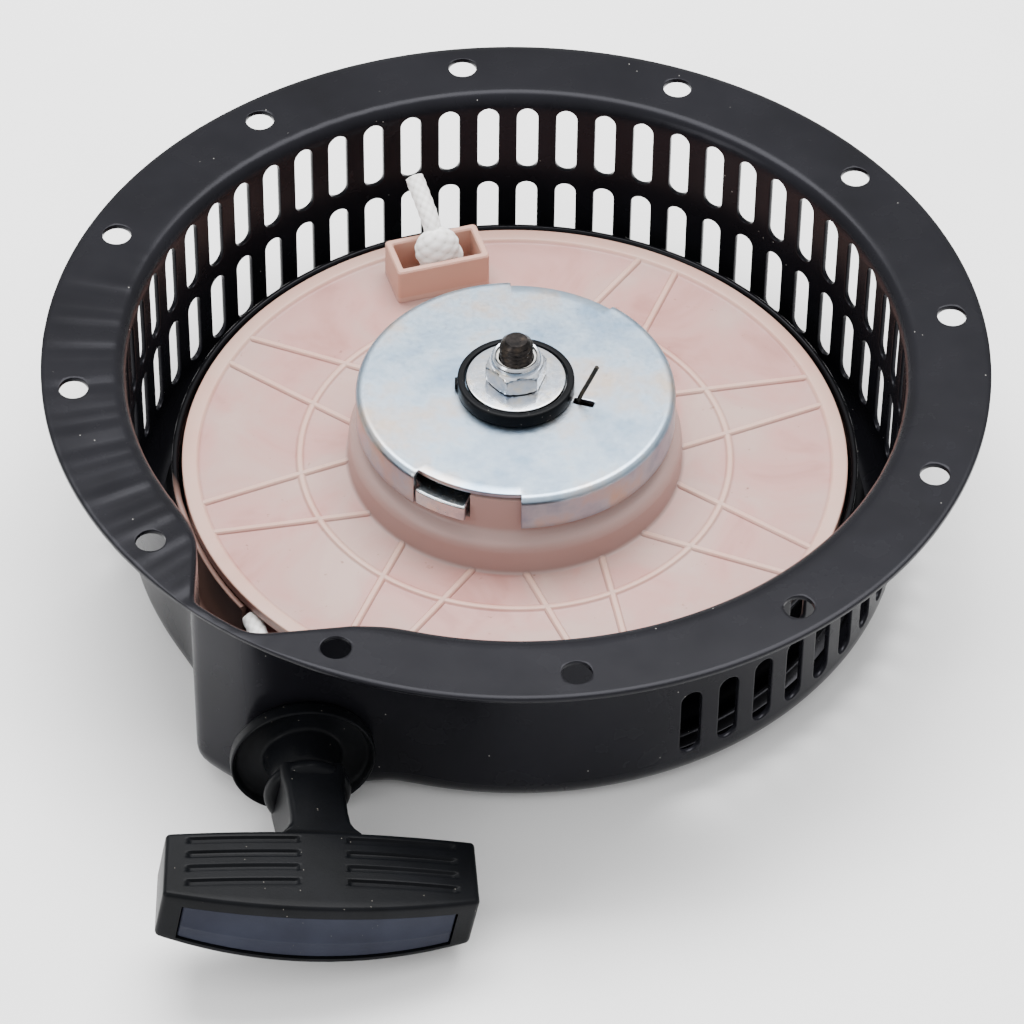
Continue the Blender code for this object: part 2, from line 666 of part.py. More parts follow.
def make_stack(zinc, bright, black, nylon):
    """Shaft, spring cover, and what the nut clamps: friction ring, wave washer, top washer."""
    shaft = [
        (0.6, 1.5), (POST_FOOT, 1.5), (POST_FOOT, 3), (POST_SHOULDER, 3),
        (POST_SHOULDER, POST_SHOULDER_TOP), (POST_RADIUS, POST_SHOULDER_TOP),
        (POST_RADIUS, POST_TOP), (STUD_RADIUS, POST_TOP),
        (STUD_RADIUS, STUD_TOP - 1), (STUD_RADIUS - 0.8, STUD_TOP), (0.6, STUD_TOP),
    ]
    turned("centre_post", shaft, bright, 24, closed=False)
    cover_bore = POST_SHOULDER + 0.4
    turned("spring_cover", [(cover_bore, COVER_BOTTOM), (COVER_RADIUS, COVER_BOTTOM),
                            (COVER_RADIUS, COVER_TOP), (cover_bore, COVER_TOP)], zinc)
    ring = turned("friction_ring", [(RING_INNER, RING_BOTTOM), (RING_OUTER, RING_BOTTOM),
                                    (RING_OUTER, RING_TOP - 0.4), (RING_OUTER - 0.4, RING_TOP),
                                    (RING_INNER, RING_TOP)], black, 32)
    tab = [(-14.6, -1.3), (-13.2, -1.3), (-13.2, 1.3), (-14.6, 1.3)]
    combine(ring, [merged("ring_tab", [prism(tab, RING_BOTTOM, 47.2)], black)], "UNION")
    section = [(5, 46.2), (11.6, 46.2), (11.6, 46.6), (5, 46.6)]
    steps = 30
    waves = []
    for k in range(steps):
        outwards, _ = directions(360 * k / steps)
        lift = WAVE_HEIGHT * sin(6 * pi * k / steps)
        waves.append([outwards * radius + UP * (height + lift) for radius, height in section])
    solid("wave_washer", *loft(waves, closed=True), bright)
    bore = STUD_RADIUS + 0.4
    turned("top_washer", [(bore, WASHER_BOTTOM), (WASHER_RADIUS, WASHER_BOTTOM),
                          (WASHER_RADIUS, WASHER_TOP), (bore, WASHER_TOP)], bright, 32)
    make_nut(bright, nylon)


def make_nut(bright, nylon):
    """Hexagon nut with a rolled collar that holds a locking ring."""
    hexagon = [polar(NUT_FLATS / sqrt(3), 60 * i + NUT_TURN) for i in range(6)]
    nut = merged("lock_nut", [prism(hexagon, WASHER_TOP + GAP, NUT_TOP)], bright)
    collar = turned("nut_collar", [(0.5, 53), (6, 53), (6, 55), (5.5, 56.1), (0.5, 56.3)], bright, 24,
                    closed=False)
    chamfer = turned("nut_chamfer", [(6.4, 54.9), (12, 54.9), (12, 52.3)], bright, 24)
    bore = turned("nut_bore", [(0.5, 46), (4.3, 46), (4.3, 53.6), (5.3, 53.6), (5.3, 55.7), (4.7, 56),
                               (4.7, 58), (0.5, 58)], bright, 24, closed=False)
    combine(nut, [collar], "UNION")
    combine(nut, [chamfer, bore], "DIFFERENCE")
    turned("nut_insert", [(4.3, 53.9), (5, 53.9), (5, 55.4), (4.3, 55.4)], nylon, 24)


def pawl_outline(angle):
    """Plan of a pawl: boss on its pivot, a slim arm, and a nose that fills one end of the plate's notch."""
    x, y = polar(PAWL_PIVOT_RADIUS, angle)
    front = ((30.6, 57.4), (38.6, 57.4), (38.6, 50), (38.6, 43), (38.6, 37.6), (36.4, 37.2),
             (34.4, 30), (33, 12))
    nose = [polar(radius, angle + a) for radius, a in front]
    turns = [radians(angle - 10 - 180 * i / 7) for i in range(8)]
    boss = [(x + PAWL_BOSS * cos(a), y + PAWL_BOSS * sin(a)) for a in turns]
    back = [polar(radius, angle + a) for radius, a in ((23.6, 12), (25.6, 26), (28.6, 42))]
    return nose + boss + back


def make_pawls(steel, pin_steel):
    for letter, angle in PAWL_ANGLES.items():
        x, y = polar(PAWL_PIVOT_RADIUS, angle)
        pawl = solid(f"pawl_{letter}", *prism(pawl_outline(angle), PAWL_BOTTOM, PAWL_TOP), steel, (x, y, 0))
        hole = merged(f"pawl_hole_{letter}", [prism(circle(x, y, PIN_HOLE, 12), 30, 45)], steel)
        combine(pawl, [hole], "DIFFERENCE")
        pin = [(0.4, PIN_BOTTOM), (PIN_RADIUS, PIN_BOTTOM), (PIN_RADIUS, PIN_TOP - 0.4),
               (PIN_RADIUS - 0.4, PIN_TOP), (0.4, PIN_TOP)]
        turned(f"pawl_pin_{letter}", pin, pin_steel, 12, closed=False, origin=(x, y, 0))


def handle_point(across, along, up):
    """World point from distances across the pull line, along it and up, in the handle's own tilt.

    The bar widens a little towards its front and leans aside there."""
    depth = max(along - GRIP_BACK, 0)
    across = across * (1 + GRIP_FLARE * depth) - GRIP_LEAN * depth
    return PULL_START + BAR_AXIS * across + PULL * along + TOP_AXIS * up


def crest(across):
    """Half height of the bar, which is lower at its ends."""
    return GRIP_HALF_HEIGHT - GRIP_CROWN * (across / GRIP_HALF_LENGTH) ** 2


def bow(across):
    """Station of the bar's front face, which bulges in the middle."""
    return GRIP_FRONT + GRIP_BOW * (1 - (across / GRIP_HALF_LENGTH) ** 2)


def grip_section(across, shrink):
    """Rounded outline of the bar at one station, drawn in by shrink for its rounded ends."""
    half = crest(across) - shrink - GRIP_EDGE
    back, front = GRIP_BACK + shrink + GRIP_EDGE, bow(across) - shrink - GRIP_EDGE
    outline = []
    for along, up, start in ((front, half, 0), (back, half, 90), (back, -half, 180), (front, -half, 270)):
        for turn in (start, start + 45, start + 90):
            step_along, step_up = polar(GRIP_EDGE, turn)
            outline.append(handle_point(across, along + step_along, up + step_up))
    return outline


def stem_section(along, wide, high):
    """Octagonal outline across the stem at one station."""
    near_wide, near_high = wide - STEM_EDGE, high - STEM_EDGE
    outline = ((wide, -near_high), (wide, near_high), (near_wide, high), (-near_wide, high),
               (-wide, near_high), (-wide, -near_high), (-near_wide, -high), (near_wide, -high))
    return [handle_point(across, along, up) for across, up in outline]


def room_section(across, play, back, front):
    """Square outline at one station of the room in the bar, or of the cap that closes it."""
    top = crest(across) - HOLLOW_TOP_WALL - play
    bottom = HOLLOW_BOTTOM_WALL + play - crest(across)
    return [handle_point(across, back, bottom), handle_point(across, front, bottom),
            handle_point(across, front, top), handle_point(across, back, top)]


def groove_shape(side, behind):
    """A shallow groove along the top of the bar, on one side of the stem."""
    start = GRIP_BACK + behind
    rings = []
    for across in GROOVE_SPAN:
        low, high = crest(across) - GROOVE_DEPTH, crest(across) + 1
        corners = ((start, low), (start + GROOVE_WIDTH, low),
                   (start + GROOVE_WIDTH + 0.4, high), (start - 0.4, high))
        rings.append([handle_point(side * across, along, up) for along, up in corners])
    return loft(rings)


def make_handle(plastic, cap_plastic, rope, steel):
    ends = [(GRIP_HALF_LENGTH, 0.8), (GRIP_HALF_LENGTH - 0.35, 0.27), (GRIP_HALF_LENGTH - 1.1, 0)]
    stations = [(-a, s) for a, s in ends] + [(a, 0) for a in (-24, -16, -8, 0, 8, 16, 24)] + ends[::-1]
    grip = solid("handle_grip", *loft([grip_section(a, s) for a, s in stations]), plastic)
    stem_stations = ((98, 7.4, 8.4), (101.5, 7.2, 8.5), (105, 6.8, 8.7), (114.5, 6.7, 8.9),
                     (117, 7.5, 8.9), (118.6, 9.6, 8.9), (122, 9.6, 8.9))
    stem = solid("stem", *loft([stem_section(*station) for station in stem_stations]), plastic)
    radius = COLLAR_RADIUS
    collar = turned_on_pull_line("collar", [
        (0.5, COLLAR_BACK), (radius - 1.4, COLLAR_BACK), (radius, COLLAR_BACK + 1.2),
        (radius, COLLAR_FRONT - 1.2), (radius - 1.2, COLLAR_FRONT), (0.5, COLLAR_FRONT)],
        plastic, 24, closed=False)
    places = [HOLLOW_HALF_LENGTH * share for share in (-1, -0.65, -0.33, 0, 0.33, 0.65, 1)]
    hollow = solid("hollow", *loft([room_section(a, 0, HOLLOW_BACK, 150) for a in places]), plastic)
    rope_way = ROPE_RADIUS + 0.8
    bore = turned_on_pull_line("rope_bore", [(rope_way, 90), (rope_way, HOLLOW_BACK + 4)], plastic, 12,
                               closed=False)
    grooves = [groove_shape(side, GROOVE_FIRST + GROOVE_PITCH * k)
               for side in (-1, 1) for k in range(GROOVE_COUNT)]
    combine(grip, [stem, collar], "UNION")
    combine(grip, [hollow, bore, merged("groove_cutter", grooves, plastic)], "DIFFERENCE")
    cap_rings = []
    for place in places:
        across = place * (1 - CAP_PLAY / HOLLOW_HALF_LENGTH)
        face = bow(across) - CAP_RECESS
        cap_rings.append(room_section(across, CAP_PLAY, face - CAP_THICKNESS, face))
    solid("handle_cap", *loft(cap_rings), cap_plastic)
    ball("handle_knot", PULL_START + PULL * 132.6, (4.2, 4.2, 4.4), rope)
    turned_on_pull_line("knot_washer", [(3, 126.4), (5.4, 126.4), (5.4, 127.4), (3, 127.4)], steel, 20)


def main():
    clear_scene()
    paint = finish("black_paint", 0x26282C, 0.35)
    nylon = finish("pink_nylon", 0xC8AAA5, 0.5)
    zinc = finish("zinc_plate", 0xCDD7DE, 0.25, 1.0)
    bright = finish("bright_zinc", 0xD8DCE0, 0.2, 1.0)
    spring_steel = finish("spring_steel", 0x4A4640, 0.4, 1.0)
    plastic = finish("black_plastic", 0x1C1D20, 0.45)
    cap_plastic = finish("grey_black_plastic", 0x3A3C46, 0.4)
    rope = finish("white_rope", 0xE6E4E0, 0.8)
    pawl_steel = finish("sintered_steel", 0x8A8378, 0.5, 1.0)
    white_nylon = finish("white_nylon", 0xE8E6E0, 0.5)

    make_housing(paint)
    make_rope_guard(paint)
    make_reel(nylon)
    make_mainspring(spring_steel)
    make_rope(rope)
    make_rope_knot(rope)
    make_guide(plastic, spring_steel)
    make_plate(zinc)
    make_return_spring(spring_steel)
    make_stack(zinc, bright, plastic, white_nylon)
    make_pawls(pawl_steel, bright)
    make_handle(plastic, cap_plastic, rope, bright)


main()
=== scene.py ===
# %% [markdown]
# # A recoil starter, piece by piece
# The starter is a pressed steel cup with a reel of rope inside. This lesson loads the working model, which
# already has every part in its place and on its joint, and gives each visible part its fine shape and
# finish.

# %% Load the working model
from math import cos, pi, radians, sin

import bmesh
import bpy
import numpy as np
from mathutils import Matrix, Vector


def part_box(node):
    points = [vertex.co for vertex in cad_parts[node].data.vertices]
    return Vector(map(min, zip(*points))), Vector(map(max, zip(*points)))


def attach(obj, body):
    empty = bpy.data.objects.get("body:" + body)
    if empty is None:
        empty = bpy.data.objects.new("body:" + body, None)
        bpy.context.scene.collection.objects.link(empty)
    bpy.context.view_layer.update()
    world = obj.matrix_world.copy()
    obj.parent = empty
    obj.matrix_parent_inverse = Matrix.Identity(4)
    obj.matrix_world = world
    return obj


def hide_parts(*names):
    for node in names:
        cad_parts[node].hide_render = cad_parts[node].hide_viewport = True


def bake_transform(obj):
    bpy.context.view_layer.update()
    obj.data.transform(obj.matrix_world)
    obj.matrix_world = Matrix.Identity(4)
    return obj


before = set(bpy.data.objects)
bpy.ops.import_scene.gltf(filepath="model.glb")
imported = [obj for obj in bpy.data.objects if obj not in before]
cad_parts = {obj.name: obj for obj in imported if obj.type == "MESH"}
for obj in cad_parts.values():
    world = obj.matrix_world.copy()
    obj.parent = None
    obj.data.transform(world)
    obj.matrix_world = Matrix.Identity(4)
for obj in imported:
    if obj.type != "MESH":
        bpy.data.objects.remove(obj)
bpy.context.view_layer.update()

# %% [markdown]
# ## From arrays to meshes
# Every new part below is a surface worked out with numpy: a grid of points and the quads between them.
# Lengths are in millimetres until the very end, when one function turns them into metres, joins points that
# meet, and hands the mesh to the body it moves with.

# %% Mesh helpers
MM = 0.001
SHEET = 1.2
UP = np.array([0.0, 0.0, 1.0])


def polar(radius, theta, z=0.0):
    """Points from their distance to the shaft's axis, their angle round it and their height."""
    return np.stack(np.broadcast_arrays(radius * np.cos(theta), radius * np.sin(theta), z), axis=-1)


def quads(rows, columns, around=False, along=False):
    """Quads between neighbours of a grid numbered row by row; around or along also joins last to first."""
    i = np.arange(rows if along else rows - 1)[:, None]
    j = np.arange(columns if around else columns - 1)[None, :]
    i_next, j_next = (i + 1) % rows, (j + 1) % columns
    corners = [i * columns + j, i * columns + j_next, i_next * columns + j_next, i_next * columns + j]
    return np.stack(np.broadcast_arrays(*corners), axis=-1).reshape(-1, 4).tolist()


def joined(*shells):
    """Several (points, faces) shells as one."""
    points, faces, base = [], [], 0
    for shell_points, shell_faces in shells:
        points.append(np.asarray(shell_points, float).reshape(-1, 3))
        faces += [[base + i for i in face] for face in shell_faces]
        base += len(points[-1])
    return np.concatenate(points), faces


def capped(rows, columns):
    """Faces of a tube of outlines, closed by the first and the last of them."""
    return quads(rows, columns, around=True) + [list(range(columns)),
                                                list(range((rows - 1) * columns, rows * columns))]


def prism(plan, heights):
    """An (x, y) outline as a closed block between two heights."""
    points = np.concatenate([np.c_[plan, np.full(len(plan), z)] for z in heights])
    return points, capped(2, len(plan))


def placed(name, mesh, material, body, replaces):
    """The finished mesh as an object, riding on its body in place of the working parts it stands for."""
    mesh.materials.append(material)
    obj = bpy.data.objects.new(name, mesh)
    bpy.context.scene.collection.objects.link(obj)
    if body:
        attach(obj, body)
    if replaces:
        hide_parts(*replaces)
    print(f"{name}: {len(mesh.polygons)} faces")
    return obj


def piece(name, shell, body, material, replaces=(), sharp=40, outward=True):
    """An object from a (points, faces) shell in millimetres, with sharp edges above an angle in degrees."""
    points, faces = shell
    mesh = bpy.data.meshes.new(name)
    mesh.from_pydata((np.asarray(points).reshape(-1, 3) * MM).tolist(), [], faces)
    shape = bmesh.new()
    shape.from_mesh(mesh)
    bmesh.ops.remove_doubles(shape, verts=shape.verts, dist=0.002 * MM)
    bmesh.ops.dissolve_degenerate(shape, edges=shape.edges, dist=0.001 * MM)
    if outward:
        bmesh.ops.recalc_face_normals(shape, faces=shape.faces)
    shape.to_mesh(mesh)
    shape.free()
    mesh.shade_smooth()
    mesh.set_sharp_from_angle(angle=radians(sharp))
    return placed(name, mesh, material, body, replaces)


def thickened(obj):
    """Gives a sheet its thickness, inwards from the surface that was worked out."""
    solid = obj.modifiers.new("Solidify", "SOLIDIFY")
    solid.thickness, solid.offset, solid.use_even_offset = SHEET * MM, -1, True


def eased(obj, width, segments, angle=50):
    """Takes the edge off wherever two faces meet at more than an angle in degrees."""
    bevel = obj.modifiers.new("Bevel", "BEVEL")
    bevel.width, bevel.segments = width * MM, segments
    bevel.limit_method, bevel.angle_limit = "ANGLE", radians(angle)


# %% [markdown]
# ## Finishes
# Each material starts from what the real one is. Colours are written as the hex values a painter would pick
# on screen, and one function turns them into the linear light that the shader works in. One more function
# adds a shader node with its settings and links, which keeps each material a short recipe.

# %% Shader helpers
def linear(colour):
    """An sRGB hex number as linear red, green, blue and full alpha."""
    channels = [(colour >> shift & 255) / 255 for shift in (16, 8, 0)]
    return (*[c / 12.92 if c <= 0.04045 else ((c + 0.055) / 1.055) ** 2.4 for c in channels], 1)


def per_mm(size):
    """Texture scale at which one feature is about this many millimetres."""
    return 1 / (size * MM)


def add(material, kind, values=None, links=None, **settings):
    """One node: settings are its properties, values its input values, links the sockets that feed it."""
    made = material.node_tree.nodes.new("ShaderNode" + kind)
    for name, value in settings.items():
        setattr(made, name, value)
    for name, value in (values or {}).items():
        made.inputs[name].default_value = value
    for name, source in (links or {}).items():
        material.node_tree.links.new(source, made.inputs[name])
    return made


def start(name, colour, roughness, metallic=0.0, **sockets):
    """A new material, its shader and the object coordinates that its patterns read."""
    material = bpy.data.materials.new(name)
    material.use_nodes = True
    shader = material.node_tree.nodes["Principled BSDF"]
    shader.inputs["Base Color"].default_value = linear(colour)
    shader.inputs["Roughness"].default_value = roughness
    shader.inputs["Metallic"].default_value = metallic
    for socket, value in sockets.items():
        shader.inputs[socket.replace("_", " ")].default_value = value
    place = add(material, "TexCoord").outputs["Object"]
    return material, shader, place


def ramp(material, factor, *stops):
    """A colour ramp through (position, hex colour) stops."""
    made = add(material, "ValToRGB", links={"Fac": factor})
    while len(made.color_ramp.elements) < len(stops):
        made.color_ramp.elements.new(0.5)
    for element, (position, colour) in zip(made.color_ramp.elements, stops):
        element.position = position
        element.color = linear(colour)
    return made.outputs["Color"]


def wire(material, source, shader, socket):
    material.node_tree.links.new(source, shader.inputs[socket])


def noise(material, place, size, detail=2, **values):
    """Soft noise with features of about this many millimetres."""
    inputs = {"Scale": per_mm(size), "Detail": detail, **values}
    return add(material, "TexNoise", inputs, {"Vector": place}).outputs[0]


def mapped(material, value, **limits):
    """MapRange with its limits given as From_Min and so on."""
    values = {name.replace("_", " "): limit for name, limit in limits.items()}
    return add(material, "MapRange", values, {"Value": value}).outputs[0]


def mix(material, factor, base, colour):
    """A colour laid over a base by a factor."""
    links = {"Factor": factor, "A": base}
    return add(material, "Mix", {"B": linear(colour)}, links, data_type="RGBA").outputs["Result"]


def bumps(material, shader, *layers):
    """Layers of relief, each a height from 0 to 1, a strength and a distance in millimetres."""
    under = {}
    for height, strength, distance in layers:
        values = {"Strength": strength, "Distance": distance * MM}
        made = add(material, "Bump", values, {"Height": height, **under})
        under = {"Normal": made.outputs[0]}
    wire(material, under["Normal"], shader, "Normal")


def dusted(material, place, tone, dust, speck_mm, patches, least, colour):
    """A tone with specks of dust, where the patches are above a least value."""
    specks = add(material, "TexVoronoi", {"Scale": per_mm(speck_mm)}, {"Vector": place}).outputs[0]
    near = add(material, "Math", {1: dust}, {0: specks}, operation="LESS_THAN").outputs[0]
    some = add(material, "Math", {1: least}, {0: patches}, operation="GREATER_THAN").outputs[0]
    dusty = add(material, "Math", links={0: near, 1: some}, operation="MULTIPLY").outputs[0]
    return mix(material, dusty, tone, colour)


# %% [markdown]
# ### Black stoving enamel
# The housing is pressed steel dipped in semi-gloss black enamel. The film is smooth, but it follows the
# drawing marks of the press, so its reflections wander a little, and dust settles on it as pale specks.

# %% Enamels
def enamel(name, colour, light, roughness, ripple_mm, ripple_height, dust):
    material, shader, place = start(name, colour, roughness, Specular_IOR_Level=0.10,
                                    Specular_Tint=(0.90, 0.90, 1.0, 1.0))
    tone = ramp(material, noise(material, place, 30, 3), (0.3, colour), (0.75, light))
    patches = noise(material, place, 14)
    wire(material, dusted(material, place, tone, dust, 3.2, patches, 0.56, 0x8C8A86), shader, "Base Color")
    ripple, peel = noise(material, place, ripple_mm, 1.5), noise(material, place, 0.9)
    bumps(material, shader, (ripple, 1, ripple_height), (peel, 0.5, 0.012))
    wear = mapped(material, noise(material, place, 9, 4), To_Min=roughness - 0.05, To_Max=roughness + 0.09)
    wire(material, wear, shader, "Roughness")
    return material


housing_enamel = enamel("stoved_black_enamel", 0x0E0E11, 0x16161A, 0.24, 16, 0.10, 0.05)
guard_enamel = enamel("gloss_black_enamel", 0x050506, 0x0A0A0C, 0.17, 25, 0.05, 0.03)

# %% [markdown]
# Near where the rope leaves, the glossy guard gets a brownish painted reflection. The painted reflection is
# strongest in one direction from the shaft, so it is the point's distance along that direction.

# %% Painted reflection on the guard
nodes = guard_enamel.node_tree
place = nodes.nodes["Texture Coordinate"].outputs["Object"]
shader = nodes.nodes["Principled BSDF"]
guard_base_colour = shader.inputs["Base Color"].links[0].from_socket
REFLECTION_WAY = (cos(radians(208)), sin(radians(208)), 0)
reach = add(guard_enamel, "VectorMath", {1: REFLECTION_WAY}, {0: place}, operation="DOT_PRODUCT").outputs["Value"]
reflection_amount = mapped(guard_enamel, reach, From_Min=76.5 * MM, From_Max=80.5 * MM, To_Max=0.9)
# A brownish painted reflection, mixed into the guard's colour near the rope's opening.
wire(guard_enamel, mix(guard_enamel, reflection_amount, guard_base_colour, 0x94746A), shader, "Base Color")

# %% [markdown]
# ### Pink nylon
# The reel is injection moulded from recycled nylon dyed pink. The melt flows out from the hub, so paler and
# redder patches drift across it, the surface is satin with a faint grain, and a little light sinks in.

# %% Moulded nylon
reel_nylon, shader, place = start("moulded_pink_nylon", 0xC8AAA5, 0.42, Subsurface_Weight=0.12)
shader.inputs["Subsurface Radius"].default_value = (0.004, 0.002, 0.0015)
shader.inputs["Subsurface Scale"].default_value = 0.5
cloud = noise(reel_nylon, place, 26, 4, Roughness=0.55, Distortion=0.6)
tone = ramp(reel_nylon, cloud, (0.32, 0xA26E66), (0.44, 0xB1827A), (0.56, 0xAF8B83), (0.68, 0xB2938A))
spot = ramp(reel_nylon, noise(reel_nylon, place, 2.2, 5), (0.70, 0xFFFFFF), (0.80, 0xB9A08F))
stained = add(reel_nylon, "Mix", {"Factor": 1.0}, {"A": tone, "B": spot}, data_type="RGBA",
              blend_type="MULTIPLY")
parts = add(reel_nylon, "SeparateXYZ", links={"Vector": place}).outputs
flat = add(reel_nylon, "CombineXYZ", links={"X": parts["X"], "Y": parts["Y"]}).outputs[0]
out = add(reel_nylon, "VectorMath", links={0: flat}, operation="LENGTH").outputs["Value"]


def from_to(value, low_mm, high_mm, most=1.0):
    """0 below one length and most above the other, with an even rise between."""
    return mapped(reel_nylon, value, From_Min=low_mm * MM, From_Max=high_mm * MM, To_Max=most)


inside = add(reel_nylon, "Math", {0: 1.0}, {1: from_to(out, 40.6, 41.2)}, operation="SUBTRACT").outputs[0]
colour = stained.outputs["Result"]
# Painted highlight: the tops of the ribs, the ring rib and the lip are lighter. Higher parts, such as the
# knot box, take a lighter, more orange pink, and all within the hub's radius a greyer one.
for factor, tint in [(from_to(parts["Z"], 23.15, 23.5, 0.55), 0xCDA795),
                     (from_to(parts["Z"], 24.4, 24.9), 0xBB8F7E), (inside, 0xA38680)]:
    colour = mix(reel_nylon, factor, colour, tint)
wire(reel_nylon, colour, shader, "Base Color")
sink, grain = noise(reel_nylon, place, 18, 1), noise(reel_nylon, place, 0.8, 3)
bumps(reel_nylon, shader, (sink, 1, 0.12), (grain, 0.6, 0.02))

# %% [markdown]
# ### Zinc plating
# The friction plate is pressed sheet with a blue-passivated zinc coat. The coat is crystalline, so its
# roughness is mottled, and thin films give it faint blue and straw clouds.

# %% Zinc plating
def zinc(name, colour, blue, straw, roughness, cloud_mm):
    material, shader, place = start(name, colour, roughness, 1.0)
    cloud = noise(material, place, cloud_mm, 5, Roughness=0.6)
    wire(material, ramp(material, cloud, (0.32, blue), (0.5, colour), (0.68, straw)), shader, "Base Color")
    crystals = noise(material, place, 1.1, 4)
    rough = mapped(material, crystals, To_Min=roughness - 0.07, To_Max=roughness + 0.12)
    wire(material, rough, shader, "Roughness")
    bumps(material, shader, (crystals, 0.5, 0.015))
    return material


plate_zinc = zinc("blue_passivated_zinc", 0x9FAFBE, 0x7C93AA, 0xB2A69C, 0.30, 17)
bright_zinc = zinc("bright_zinc_hardware", 0xCDD1D8, 0xB6C0CC, 0xDAD4C8, 0.18, 4)
spring_steel = zinc("blackened_spring_steel", 0x4A453E, 0x3C3A38, 0x5C5040, 0.38, 3)
sintered_steel = zinc("sintered_steel", 0xBCC4CA, 0xA4B0BA, 0xCFCBC2, 0.22, 4)
stud_black = zinc("phosphated_steel", 0x2B2827, 0x1E1D1D, 0x3E3731, 0.28, 2)

# %% [markdown]
# ### Black polypropylene
# The handle and the rope guide are moulded from filled polypropylene: satin, slightly blue where it catches
# light, with fine spark-eroded grain and pale dust in its corners.

# %% Moulded polypropylene
def polypropylene(name, dark, light, roughness, dust):
    material, shader, place = start(name, dark, roughness, Specular_IOR_Level=0.06)
    tone = ramp(material, noise(material, place, 12, 4), (0.3, dark), (0.75, light))
    patches = noise(material, place, 7, 3)
    wire(material, dusted(material, place, tone, dust, 1.7, patches, 0.52, 0x77736C), shader, "Base Color")
    bumps(material, shader, (noise(material, place, 0.5), 0.6, 0.03))
    return material


handle_plastic = polypropylene("black_polypropylene", 0x090A0C, 0x101114, 0.36, 0.07)
cap_plastic = polypropylene("blue_black_polypropylene", 0x22242E, 0x2B2E3A, 0.38, 0.04)

# %% [markdown]
# ### Braided cord
# The starter rope is white nylon braid. Its strands are real bumps on the rope's surface further down; the
# material only adds the filament lines, a soft sheen and painted shade, grey, in the valleys between strands.

# %% Braided nylon
braid, shader, place = start("braided_white_nylon", 0xE8E6E2, 0.7, Sheen_Weight=0.3, Sheen_Roughness=0.4)
valley = add(braid, "Attribute", attribute_name="strand_height").outputs["Fac"]
# Painted shade: the valleys between strands are greyer than the strands' tops.
tone = ramp(braid, valley, (0.0, 0xA8A49E), (0.3, 0xDEDCD8), (0.7, 0xF8F7F5))
wire(braid, tone, shader, "Base Color")
bumps(braid, shader, (noise(braid, place, 0.35), 0.7, 0.05))

white_nylon, shader, place = start("white_nylon_ring", 0xE4E2DC, 0.4)
tone = ramp(white_nylon, noise(white_nylon, place, 0.6), (0.3, 0xD8D4CC), (0.7, 0xECEAE6))
wire(white_nylon, tone, shader, "Base Color")
print("finishes:", len(bpy.data.materials))

# %% [markdown]
# ## The camera first
# A product shot from a long way off with a long lens, looking down at 45 degrees. The camera leans by less
# than a degree, as a hand-set tripod does.

# %% Camera
CAMERA_DISTANCE = 1165
CAMERA_TARGET = np.array([-0.525, -53.76, 57.0])
CAMERA_ELEVATION = radians(45.01)
CAMERA_ROLL = radians(0.756)
LENS = 178.4

forward = np.array([0, cos(CAMERA_ELEVATION), -sin(CAMERA_ELEVATION)])
level = np.array([1.0, 0, 0])
upright = np.cross(level, forward)
camera = bpy.data.objects.new("camera", bpy.data.cameras.new("camera"))
bpy.context.scene.collection.objects.link(camera)
bpy.context.scene.camera = camera
camera.data.lens = LENS
camera.data.clip_start, camera.data.clip_end = 0.05, 20
camera_x = level * cos(CAMERA_ROLL) + upright * sin(CAMERA_ROLL)
camera_y = upright * cos(CAMERA_ROLL) - level * sin(CAMERA_ROLL)
turn = Matrix(np.stack([camera_x, camera_y, -forward], axis=1).tolist()).to_4x4()
camera.matrix_world = Matrix.Translation(Vector((CAMERA_TARGET - forward * CAMERA_DISTANCE) * MM)) @ turn
print("camera at", [round(x, 3) for x in camera.matrix_world.translation])

# %% [markdown]
# ## Studio light
# A white table and a white room that is brighter overhead than at the walls, one wide soft light above and
# behind, and a weaker one from the front left. Black enamel shows mostly what it reflects, so the lights
# are large and their edges are soft.

# %% Floor and lights
floor_material, shader, place = start("white_table", 0xFAFAFA, 0.9)
paper = noise(floor_material, place, 60)
wire(floor_material, ramp(floor_material, paper, (0.3, 0xF8F8F8), (0.7, 0xFCFCFC)), shader, "Base Color")
side = 6000
floor = piece("table", (np.array([[-side, -side, -0.6], [side, -side, -0.6], [side, side, -0.6],
                                  [-side, side, -0.6]]), [[0, 1, 2, 3]]), None, floor_material, outward=False)

world = bpy.data.worlds.new("white_room")
bpy.context.scene.world = world
world.use_nodes = True
world.node_tree.nodes["Background"].inputs["Color"].default_value = (1, 1, 1, 1)
look = add(world, "TexCoord").outputs["Generated"]
height = add(world, "SeparateXYZ", links={"Vector": look}).outputs["Z"]
bright = mapped(world, height, From_Min=0.0, From_Max=0.9, To_Min=0.75, To_Max=1.7)
wire(world, bright, world.node_tree.nodes["Background"], "Strength")


def soft_light(name, place, target, size, power):
    """An area light of this size in millimetres, aimed at a point."""
    lamp = bpy.data.lights.new(name, "AREA")
    lamp.shape = "RECTANGLE"
    lamp.size, lamp.size_y = size[0] * MM, size[1] * MM
    lamp.energy = power
    obj = bpy.data.objects.new(name, lamp)
    bpy.context.scene.collection.objects.link(obj)
    obj.location = Vector(place) * MM
    obj.rotation_euler = (Vector(target) * MM - obj.location).to_track_quat("-Z", "Y").to_euler()


soft_light("overhead", (0, 500, 1300), (0, 0, 0), (1400, 700), 44)
soft_light("front_left", (-1300, -900, 700), (0, -20, 20), (600, 900), 10)

# %% [markdown]
# ## Shapes shared by many parts
# Lathe-turned and moulded parts are a profile carried round an axis. Their corners are never knife-sharp,
# so one function rounds the corners of a profile first: near each corner the path follows a quadratic curve
# from one side to the other.

